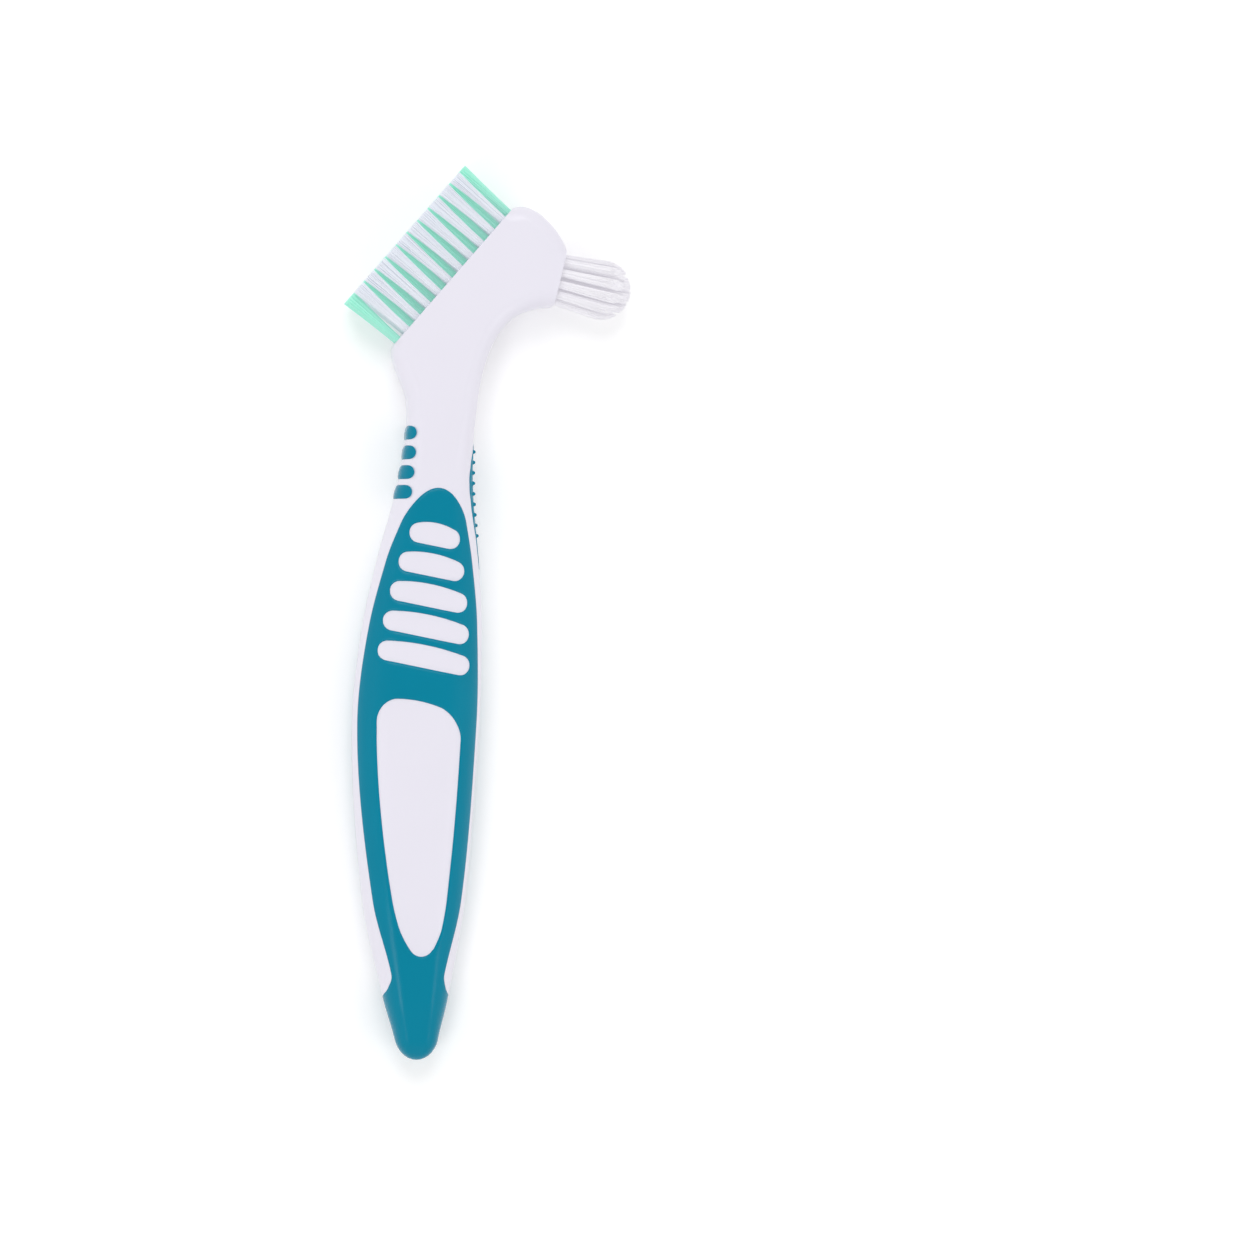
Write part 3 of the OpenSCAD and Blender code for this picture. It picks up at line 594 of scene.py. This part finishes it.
def grip_sheet():
    """One broad side of the grip, laid flat and cut into triangles; each point has its distance to a free
    edge, or -1 where it lies on the side seam or round the tail tip."""
    outer, holes = edge_lines()
    outer = beside(evenly(outer, POINT_STEP, closed=False), False, -EDGE_LAP)
    corner = seam_at(outer[0][1])
    outer[0], outer[-1] = (corner, outer[0][1]), (-corner, outer[-1][1])
    holes = [evenly(line, POINT_STEP) for line in holes]
    holes = [beside(line if area_of(line) > 0 else line[::-1], True, EDGE_LAP) for line in holes]
    low = run_of(TAIL_LOW)
    seams = [height_of(low + (SLEEVE_TOP - low) * i / SEAM_STEPS) for i in range(SEAM_STEPS)]
    tip = [seam_at(TAIL_LOW) * (2 * i / TIP_STEPS - 1) for i in range(1, TIP_STEPS)]
    border = ([(-seam_at(y), run_of(y)) for y in reversed(seams)] + [(u, low) for u in tip]
              + [(seam_at(y), run_of(y)) for y in seams])
    near = nearness([(outer, False)] + [(h, True) for h in holes])
    points, depths, links = [], [], []

    rim = outer + border
    for line in [rim] + holes:
        start = len(points)
        points.extend(line)
        depths.extend([0.0] * len(line))
        links.extend((start + i, start + (i + 1) % len(line)) for i in range(len(line)))
    for k in range(len(outer), len(rim)):
        depths[k] = -1.0

    boxes = [(min(x), max(x), min(y), max(y)) for x, y in (zip(*h) for h in holes)]

    def on_grip(p):
        if not within(p, rim):
            return False
        for h, (a, b, c, d) in zip(holes, boxes):
            if a <= p[0] <= b and c <= p[1] <= d and within(p, h):
                return False
        return True

    for line, closed, side in [(outer, False, 1.0)] + [(h, True, -1.0) for h in holes]:
        for depth in RINGS:
            for p in beside(line, closed, side * (depth + EDGE_LAP)):
                if p[1] > SLEEVE_TOP - 1 or abs(p[0]) < seam_at(height_of(p[1])) - 0.2:
                    if near.find((p[0], p[1], 0.0))[2] > 0.97 * (depth + EDGE_LAP) and on_grip(p):
                        points.append(p)
                        depths.append(depth)
    for i in range(1, int((THROAT - low) / GRID_STEP)):
        run = low + i * GRID_STEP
        reach = seam_at(height_of(run))
        across = int(reach / GRID_STEP) + 2
        for k in range(-across, across + 1):
            p = ((k + 0.5 * (i % 2)) * GRID_STEP, run)
            if run < SLEEVE_TOP + 0.3 and abs(p[0]) > reach - 0.4 * GRID_STEP:
                continue
            away = near.find((p[0], p[1], 0.0))[2]
            if away > RINGS[-1] + 0.5 * GRID_STEP and on_grip(p):
                points.append(p)
                depths.append(away)

    flat, _, faces, origin, _, _ = delaunay_2d_cdt([Vector(p) for p in points], links, [], 0, 1e-6)
    kept = []
    for face in faces:
        middle = (sum(flat[k][0] for k in face) / 3, sum(flat[k][1] for k in face) / 3)
        if on_grip(middle):
            kept.append(tuple(face))
    depth_of = [max([depths[k] for k in source] or [0.0]) for source in origin]
    return [tuple(p) for p in flat], kept, depth_of


def grip_piece(name):
    """The grip as a closed body: pillowed outer skin, hidden inner skin and the walls between them."""
    flat, faces, depths = grip_sheet()
    points, shapes = [], []

    def place(x, y, z):
        points.append(((x - HUB[0]) * MM, (y - HUB[1]) * MM, (z + MID_Z) * MM))
        return len(points) - 1

    sides = {}
    for a, b, c in faces:
        for pair in ((a, b), (b, c), (c, a)):
            sides[pair] = sides.get(pair, 0) + 1
    open_sides = [pair for pair in sides if (pair[1], pair[0]) not in sides]
    tail = {k for k, depth in enumerate(depths) if depth < 0}
    seam = {k for k, (u, v) in enumerate(flat)
            if v < SLEEVE_TOP + 0.1 and abs(abs(u) - seam_at(height_of(v))) < 0.001}
    ends = tail | seam
    for face in (1, -1):
        skin, inner = [], []
        for (u, run), depth in zip(flat, depths):
            y = height_of(run)
            share = 1.0 if depth < 0 else min(1.0, depth / RINGS[-1])
            lift = GRIP_RISE * (EDGE_SHARE + (1 - EDGE_SHARE) * math.sqrt(1 - (1 - share) ** 2))
            x, py, z = skin_point(u, y, lift)
            skin.append(place(x, py, face * z))
            half = section(y)[1]
            x, py, z = skin_point(u, y, 0.0, min(INNER_DEPTH, 0.25 * half))
            inner.append(place(x, py + INNER_TIP * max(0.0, 1 - y / TIP_ROUND), face * z))
        turn = (lambda f: f) if face > 0 else (lambda f: f[::-1])
        for a, b, c in faces:
            shapes.append(turn((skin[a], skin[b], skin[c])))
            shapes.append(turn((inner[c], inner[b], inner[a])))
        tip_pairs = []
        for a, b in open_sides:
            if a in seam and b in seam and flat[a][0] * flat[b][0] > 0:
                continue
            if a in ends and b in ends and (a in tail or b in tail):
                tip_pairs.append((a, b))
            else:
                shapes.append(turn((skin[b], skin[a], inner[a], inner[b])))
        end = place(spine_x(0), 0.0, 0.0)
        core = place(spine_x(0), 2 * INNER_TIP, 0.0)
        for a, b in tip_pairs:
            shapes.append(turn((skin[b], skin[a], end)))
            shapes.append(turn((inner[a], inner[b], core)))
    mesh = bpy.data.meshes.new(name)
    mesh.from_pydata(points, [], shapes)
    mesh.update()
    piece = bpy.data.objects.new(name, mesh)
    bpy.context.scene.collection.objects.link(piece)
    select_only(piece)
    bpy.ops.object.mode_set(mode="EDIT")
    bpy.ops.mesh.select_all(action="SELECT")
    bpy.ops.mesh.remove_doubles(threshold=MERGE_DISTANCE)
    bpy.ops.mesh.normals_make_consistent(inside=False)
    bpy.ops.object.mode_set(mode="OBJECT")
    bpy.ops.object.shade_smooth_by_angle(angle=math.radians(60.0), keep_sharp_edges=False)
    return piece


# ---- materials

def new_material(name):
    made = bpy.data.materials.new(name)
    made.use_nodes = True
    tree = made.node_tree
    shader = tree.nodes["Principled BSDF"]
    return made, tree, shader


def object_place(tree):
    return tree.nodes.new("ShaderNodeTexCoord").outputs["Object"]


def grain(tree, place, scale, detail=3.0):
    """Noise at a scale given in waves per metre."""
    noise = tree.nodes.new("ShaderNodeTexNoise")
    noise.inputs["Scale"].default_value = scale
    noise.inputs["Detail"].default_value = detail
    tree.links.new(place, noise.inputs["Vector"])
    return noise.outputs["Fac"]


def between(tree, value, low, high, from_low=0.3, from_high=0.7):
    """The value, spread so that from_low and from_high give low and high."""
    span = tree.nodes.new("ShaderNodeMapRange")
    span.inputs["From Min"].default_value = from_low
    span.inputs["From Max"].default_value = from_high
    span.inputs["To Min"].default_value = low
    span.inputs["To Max"].default_value = high
    tree.links.new(value, span.inputs["Value"])
    return span.outputs["Result"]


def blend_colours(tree, value, first, second):
    """Blends two colours by a value. Each of the three is a constant, or a socket that carries it."""
    mix = tree.nodes.new("ShaderNodeMix")
    mix.data_type = "RGBA"
    for socket, given in ((mix.inputs[0], value), (mix.inputs[6], first), (mix.inputs[7], second)):
        if isinstance(given, bpy.types.NodeSocket):
            tree.links.new(given, socket)
        else:
            socket.default_value = (*given, 1.0) if socket.type == "RGBA" else given
    return mix.outputs[2]


def relief(tree, shader, height, strength, distance):
    bump = tree.nodes.new("ShaderNodeBump")
    bump.inputs["Strength"].default_value = strength
    bump.inputs["Distance"].default_value = distance
    tree.links.new(height, bump.inputs["Height"])
    tree.links.new(bump.outputs["Normal"], shader.inputs["Normal"])


def shade(colour, factor):
    return tuple(min(1.0, channel * factor) for channel in colour)


def moulded_core():
    """Glossy white plastic with a faint lilac cast, a little cloudy in its colour."""
    made, tree, shader = new_material("Moulded white core")
    place = object_place(tree)
    colour = settings().core_colour
    cloud = between(tree, grain(tree, place, 60.0, 1.0), 0.0, 1.0, 0.2, 0.8)
    tree.links.new(blend_colours(tree, cloud, shade(colour, 0.99), shade(colour, 1.005)),
                   shader.inputs["Base Color"])
    shader.inputs["Roughness"].default_value = 0.3
    shader.inputs["IOR"].default_value = 1.5
    return made


def soft_touch():
    """Satin teal elastomer, finely grained."""
    made, tree, shader = new_material("Soft teal grip")
    place = object_place(tree)
    colour = settings().grip_colour
    cloud = between(tree, grain(tree, place, 60.0), 0.0, 1.0)
    tree.links.new(blend_colours(tree, cloud, shade(colour, 0.98), shade(colour, 1.03)),
                   shader.inputs["Base Color"])
    shader.inputs["Roughness"].default_value = 0.25
    shader.inputs["IOR"].default_value = 1.45
    shader.inputs["Specular IOR Level"].default_value = 0.16
    relief(tree, shader, grain(tree, place, 2600.0, 2.0), 0.03, 0.00004)
    return made


def nylon(name, colour, root, tip, painted_glow):
    """Translucent filaments: each a little lighter or darker at random, and darker towards the roots and
    paler towards the cut tips, which is painted shade and painted light; the emission is painted light, a
    glow that stands in for the light that passes from filament to filament."""
    made, tree, shader = new_material(name)
    strand = tree.nodes.new("ShaderNodeAttribute")
    strand.attribute_name = "strand"
    parts = tree.nodes.new("ShaderNodeSeparateColor")
    tree.links.new(strand.outputs["Color"], parts.inputs["Color"])
    # Darker towards the roots and paler towards the tips: painted shade deep in the bundle and painted light
    # at its tips
    along = blend_colours(tree, parts.outputs["Green"], shade(colour, root), shade(colour, tip))
    apart = blend_colours(tree, parts.outputs["Red"], shade(colour, 0.9), shade(colour, 1.08))
    tone = blend_colours(tree, 0.4, along, apart)
    tree.links.new(tone, shader.inputs["Base Color"])
    # The emission of the filaments' own tone is painted light, a glow that stands in for light passed between
    # filaments
    tree.links.new(tone, shader.inputs["Emission Color"])
    shader.inputs["Emission Strength"].default_value = painted_glow
    tree.links.new(between(tree, parts.outputs["Blue"], 0.3, 0.42, 0.0, 1.0), shader.inputs["Roughness"])
    shader.inputs["IOR"].default_value = 1.5
    return made


def bright_wire():
    """Flat metal wire with fine draw lines."""
    made, tree, shader = new_material("Bright anchor wire")
    place = object_place(tree)
    colour = settings().anchor_colour
    lines = grain(tree, place, 6000.0, 2.0)
    tone = between(tree, lines, 0.0, 1.0)
    tree.links.new(blend_colours(tree, tone, shade(colour, 0.9), shade(colour, 1.1)),
                   shader.inputs["Base Color"])
    tree.links.new(between(tree, lines, 0.25, 0.4), shader.inputs["Roughness"])
    shader.inputs["Metallic"].default_value = 1.0
    return made


# ---- bristles

def strand_form():
    """One filament a unit long and a unit in radius: a post cut across and narrowed at its tip."""
    bpy.ops.mesh.primitive_cylinder_add(vertices=STRAND_SIDES, radius=1.0, depth=1.0, end_fill_type="NGON",
                                        location=(0, 0, 0.5))
    form = bpy.context.object
    bpy.ops.object.transform_apply(location=True, rotation=True, scale=True)
    bpy.ops.object.mode_set(mode="EDIT")
    for height in STRAND_CUTS:
        bpy.ops.mesh.select_all(action="SELECT")
        bpy.ops.mesh.bisect(plane_co=(0, 0, height), plane_no=(0, 0, 1))
    bpy.ops.mesh.select_all(action="DESELECT")
    bpy.ops.object.mode_set(mode="OBJECT")
    for v in form.data.vertices:
        v.select = v.co.z > 0.99
    bpy.ops.object.mode_set(mode="EDIT")
    bpy.ops.transform.resize(value=(0.5, 0.5, 1.0), center_override=(0, 0, 1))
    bpy.ops.object.mode_set(mode="OBJECT")
    verts = [v.co.copy() for v in form.data.vertices]
    faces = [tuple(p.vertices) for p in form.data.polygons]
    bpy.data.objects.remove(form)
    return verts, faces


class Bundles:
    """Gathers the filaments of one row or ring into one mesh."""

    def __init__(self, seed):
        self.form = strand_form()
        self.chance = random.Random(seed)
        self.points = []
        self.faces = []
        self.tones = []

    def strand(self, foot, tip, radius, sway):
        """Adds a filament from foot to tip, bowed by sway in its middle."""
        verts, faces = self.form
        start = len(self.points)
        axis = (tip - foot).normalized()
        side = axis.orthogonal().normalized()
        other = axis.cross(side)
        tone = self.chance.random()
        wet = self.chance.random()
        turn = self.chance.uniform(0.0, math.tau)
        ca, sa = math.cos(turn), math.sin(turn)
        for v in verts:
            t = v.z
            across = v.x * ca - v.y * sa
            deep = v.x * sa + v.y * ca
            narrow = radius * (1.0 - STRAND_TAPER * t)
            bow = sway * (4.0 * t * (1.0 - t))
            self.points.append(foot.lerp(tip, t) + side * across * narrow + other * deep * narrow + bow)
            self.tones.append((tone, t, wet, 1.0))
        self.faces.extend(tuple(start + k for k in face) for face in faces)

    def bundle(self, centre, out, along, hole, spread, length_at, count, radius, waist, lean):
        """Adds a bundle that stands out of its hole, with its filaments on a spiral out to the hole's rim
        and to the spread at its tips. length_at gives the length above the face at a place on it."""
        for i in range(count):
            share = math.sqrt((i + 0.5) / count)
            angle = i * GOLDEN_ANGLE + self.chance.uniform(-TURN_PLAY, TURN_PLAY)
            flat = along * math.cos(angle) + UP * math.sin(angle)
            foot = centre + flat * share * (hole - radius) - out * FOOT_DEPTH * MM
            reach = share * (spread - radius) * self.chance.uniform(*REACH_PLAY)
            aim = centre + flat * reach
            length = length_at(aim + lean)
            tip = aim + lean * (length / length_at(centre)) + out * length
            sway = flat * (self.chance.uniform(-SWAY_PLAY, SWAY_PLAY) - waist * share)
            self.strand(foot, tip, radius, sway)

    def piece(self, name):
        """The gathered filaments as an object, each with its own tone in the attribute strand."""
        mesh = bpy.data.meshes.new(name)
        mesh.from_pydata(self.points, [], self.faces)
        mesh.update()
        tone = mesh.color_attributes.new(name="strand", type="FLOAT_COLOR", domain="POINT")
        tone.data.foreach_set("color", [channel for colour in self.tones for channel in colour])
        made = bpy.data.objects.new(name, mesh)
        bpy.context.scene.collection.objects.link(made)
        select_only(made)
        bpy.ops.object.shade_smooth_by_angle(angle=math.radians(70.0), keep_sharp_edges=False)
        return made


def large_places(row):
    """Places of a row's bundles along the large face."""
    longer = row % 2 == 0
    count = 11 if longer else 10
    places = [(i - (count - 1) / 2) * LARGE_PITCH for i in range(count)]
    if longer:
        places[0] -= LOW_END_STEP
        places[-1] += HIGH_END_STEP
    return places


def large_centre(row, along):
    return (LARGE_FACE + LARGE_ALONG * along - UP * ((row - MIDDLE_ROW) * ROW_PITCH)) * MM


def large_row(row):
    """The filaments of one row of the large brush, trimmed flat with a little unevenness."""
    s = settings()
    made = Bundles(100 + row)
    for along in large_places(row):
        trim = made.chance.uniform(*BUNDLE_TRIM)
        made.bundle(large_centre(row, along), LARGE_OUT, LARGE_ALONG, LARGE_FOOT * MM, s.large_spread,
                    lambda p: s.large_length + trim + made.chance.uniform(*LARGE_TRIM),
                    s.strands, s.strand_radius, LARGE_WAIST, Vector((0, 0, 0)))
    return made.piece("large_bristles_row_%d" % row)


def small_ring(name, places, lean_share, seed):
    """The filaments of one ring of the small brush, leaning outwards and trimmed to a dome."""
    s = settings()
    made = Bundles(seed)
    axis = SMALL_FACE * MM

    def domed(p):
        aside = p - axis
        aside = aside - SMALL_OUT * aside.dot(SMALL_OUT)
        across = min(aside.length, s.dome_radius * 0.999)
        return (s.small_length - s.dome_radius + math.sqrt(s.dome_radius ** 2 - across ** 2)
                + made.chance.uniform(*SMALL_TRIM))

    for along, up in places:
        flat = SMALL_ALONG * along + UP * up
        centre = axis + flat * MM
        lean = flat.normalized() * (s.small_length * lean_share)
        made.bundle(centre, SMALL_OUT, SMALL_ALONG, SMALL_FOOT * MM, s.small_spread,
                    domed, int(s.strands * SMALL_SHARE), s.strand_radius, 0.0, lean)
    return made.piece(name)


def ring(radius, count):
    """Places of a ring's bundles on the small face."""
    turns = [math.radians(RING_TURN + 360.0 * i / count) for i in range(count)]
    return [(radius * math.sin(a), -radius * math.cos(a)) for a in turns]


# ---- stage, in metres

VIEW_CENTRE = Vector((0.02788, -0.0642, 0.0075))
VIEW_WIDTH = 0.2501
CAMERA_TURN = math.radians(4.5)
CAMERA_AWAY = 1.4
SENSOR = 36.0
# Each lamp's place, width and share of the key light's power
LAMPS = (("key", (-0.08, 0.6, 1.15), 0.6, 1.0),
         ("left", (-0.47, -0.5, 1.04), 0.35, 0.4),
         ("right", (0.64, -0.49, 0.96), 0.35, 0.22))
FLOOR_GLOW = 0.2


def joined(tree, operation, first, second):
    """A value made of two, each a constant or a socket."""
    maths = tree.nodes.new("ShaderNodeMath")
    maths.operation = operation
    for socket, given in zip(maths.inputs, (first, second)):
        if isinstance(given, bpy.types.NodeSocket):
            tree.links.new(given, socket)
        else:
            socket.default_value = given
    return maths.outputs[0]


def add_floor():
    """White floor just under the brush, which glows a little where the camera sees it."""
    bpy.ops.mesh.primitive_plane_add(size=3.0, location=(0.02, -0.06, -0.0001))
    floor = bpy.context.object
    floor.name = "floor"
    made, tree, shader = new_material("White floor")
    shader.inputs["Base Color"].default_value = (0.93, 0.93, 0.93, 1.0)
    shader.inputs["Roughness"].default_value = 0.9
    shader.inputs["Specular IOR Level"].default_value = 0.1
    path = tree.nodes.new("ShaderNodeLightPath").outputs
    seen = joined(tree, "MAXIMUM", path["Is Camera Ray"], path["Is Glossy Ray"])
    seen = joined(tree, "MAXIMUM", seen, path["Is Transmission Ray"])
    shader.inputs["Emission Color"].default_value = (1.0, 1.0, 1.0, 1.0)
    tree.links.new(joined(tree, "MULTIPLY", seen, FLOOR_GLOW), shader.inputs["Emission Strength"])
    floor.data.materials.append(made)


def add_room(strength):
    """Even white light from all round, weaker from straight above."""
    world = bpy.data.worlds.new("Studio")
    bpy.context.scene.world = world
    world.use_nodes = True
    tree = world.node_tree
    sky = tree.nodes["Background"]
    sky.inputs["Color"].default_value = (1.0, 1.0, 1.0, 1.0)
    way = tree.nodes.new("ShaderNodeTexCoord")
    height = tree.nodes.new("ShaderNodeSeparateXYZ")
    tree.links.new(way.outputs["Generated"], height.inputs["Vector"])
    dusk = between(tree, height.outputs["Z"], strength * 1.2, strength * 0.5, 0.6, 1.0)
    tree.links.new(dusk, sky.inputs["Strength"])


def add_lamp(name, place, size, power):
    bpy.ops.object.light_add(type="AREA", location=place)
    lamp = bpy.context.object
    lamp.name = name
    lamp.data.shape = "DISK"
    lamp.data.size = size
    lamp.data.energy = power
    lamp.rotation_euler = (VIEW_CENTRE - Vector(place)).to_track_quat("-Z", "Y").to_euler()


def add_camera():
    """Camera above the brush, turned a little to its left as in the photo."""
    way = Vector((-math.sin(CAMERA_TURN), 0.0, math.cos(CAMERA_TURN)))
    bpy.ops.object.camera_add(location=VIEW_CENTRE + way * CAMERA_AWAY, rotation=(0.0, -CAMERA_TURN, 0.0))
    camera = bpy.context.object
    camera.data.sensor_width = SENSOR
    camera.data.lens = SENSOR * CAMERA_AWAY / VIEW_WIDTH
    camera.data.clip_start = 0.1
    camera.data.clip_end = 20.0
    bpy.context.scene.camera = camera


# ---- operators

class DENTUREBRUSH_OT_core(bpy.types.Operator):
    """Makes the smooth white core of the brush from its moulded form"""
    bl_idname = "denture_brush.core"
    bl_label = "White core"

    def execute(self, context):
        piece = copy_of("handle_core", "white_core")
        round_rims(piece, settings().edge_softness)
        true_skin(piece)
        seat_on_frame(piece, ["handle_core"], moulded_core())
        return {"FINISHED"}


class DENTUREBRUSH_OT_soft_parts(bpy.types.Operator):
    """Makes the soft grip, the thumb pad and the finger ribs"""
    bl_idname = "denture_brush.soft_parts"
    bl_label = "Soft parts"

    def execute(self, context):
        skin = soft_touch()
        seat_on_frame(grip_piece("teal_grip"), ["soft_grip"], skin)
        ribs = [("finger_rib_%d" % i, "teal_rib_%d" % i, 2.5) for i in range(1, 5)]
        for node, name, roundness in [("thumb_pad", "teal_thumb_pad", 1.0)] + ribs:
            piece = copy_of(node, name)
            soften(piece, settings().edge_softness * roundness)
            seat_on_frame(piece, [node], skin)
        return {"FINISHED"}


class DENTUREBRUSH_OT_large_bristles(bpy.types.Operator):
    """Fills the five rows of the large brush with filaments"""
    bl_idname = "denture_brush.large_bristles"
    bl_label = "Large bristles"

    def execute(self, context):
        # Root and tip factors paint shade at the roots and light at the tips; the last value is the strength
        # of a painted glow
        frost = nylon("Frosty filaments", settings().frost_colour, root=0.92, tip=1.05, painted_glow=0.16)
        mint = nylon("Mint filaments", settings().mint_colour, root=0.95, tip=1.1, painted_glow=0.28)
        for row in ROWS:
            clear = row % 2 == 1
            seat_on_frame(large_row(row),
                          ["large_tufts_row_%d" % row], frost if clear else mint)
        return {"FINISHED"}


class DENTUREBRUSH_OT_small_bristles(bpy.types.Operator):
    """Fills the small round brush with filaments"""
    bl_idname = "denture_brush.small_bristles"
    bl_label = "Small bristles"

    def execute(self, context):
        warmer = tuple(c * k for c, k in zip(settings().frost_colour, (1.08, 1.03, 1.0)))
        # Root and tip factors paint shade at the roots and light at the tips; the last value is the strength
        # of a painted glow
        white = nylon("White filaments", warmer, root=1.0, tip=1.04, painted_glow=0.18)
        inner_lean = OUTER_LEAN * INNER_RING / OUTER_RING
        for node, places, share, seed in (
                ("small_tufts_centre", [(0.0, 0.0)], 0.0, 7),
                ("small_tufts_inner", ring(INNER_RING, INNER_COUNT), inner_lean, 8),
                ("small_tufts_outer", ring(OUTER_RING, OUTER_COUNT), OUTER_LEAN, 9)):
            piece = small_ring(node.replace("tufts", "bristles"), places, share, seed)
            seat_on_frame(piece, [node], white)
        return {"FINISHED"}


class DENTUREBRUSH_OT_anchors(bpy.types.Operator):
    """Gives the metal anchors in the bristle holes their finish"""
    bl_idname = "denture_brush.anchors"
    bl_label = "Anchors"

    def execute(self, context):
        wire = bright_wire()
        for name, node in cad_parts.items():
            if "anchors" in name:
                for slot in node.material_slots:
                    slot.material = wire
        return {"FINISHED"}


class DENTUREBRUSH_OT_stage(bpy.types.Operator):
    """Sets the floor, the soft lights and the camera"""
    bl_idname = "denture_brush.stage"
    bl_label = "Stage"

    def execute(self, context):
        s = settings()
        add_floor()
        add_room(s.room_light)
        for name, place, size, share in LAMPS:
            add_lamp(name, place, size, s.key_power * share)
        add_camera()
        context.scene.view_settings.view_transform = "Standard"
        return {"FINISHED"}


class DENTUREBRUSH_PT_panel(bpy.types.Panel):
    """Lists the steps that dress the denture brush"""
    bl_idname = "DENTUREBRUSH_PT_panel"
    bl_label = "Denture brush"
    bl_space_type = "VIEW_3D"
    bl_region_type = "UI"
    bl_category = "Denture brush"

    def draw(self, context):
        column = self.layout.column()
        for name in BrushSettings.__annotations__:
            column.prop(context.scene.denture_brush, name)
        for step in STEPS:
            column.operator("denture_brush." + step)


STEPS = ("core", "soft_parts", "large_bristles", "small_bristles", "anchors", "stage")
CLASSES = (BrushSettings, DENTUREBRUSH_OT_core, DENTUREBRUSH_OT_soft_parts,
           DENTUREBRUSH_OT_large_bristles, DENTUREBRUSH_OT_small_bristles, DENTUREBRUSH_OT_anchors,
           DENTUREBRUSH_OT_stage, DENTUREBRUSH_PT_panel)


def register():
    for c in CLASSES:
        bpy.utils.register_class(c)
    bpy.types.Scene.denture_brush = PointerProperty(type=BrushSettings)


def unregister():
    del bpy.types.Scene.denture_brush
    for c in reversed(CLASSES):
        bpy.utils.unregister_class(c)


def main():
    register()
    for step in STEPS:
        getattr(bpy.ops.denture_brush, step)()


if __name__ == "__main__":
    main()
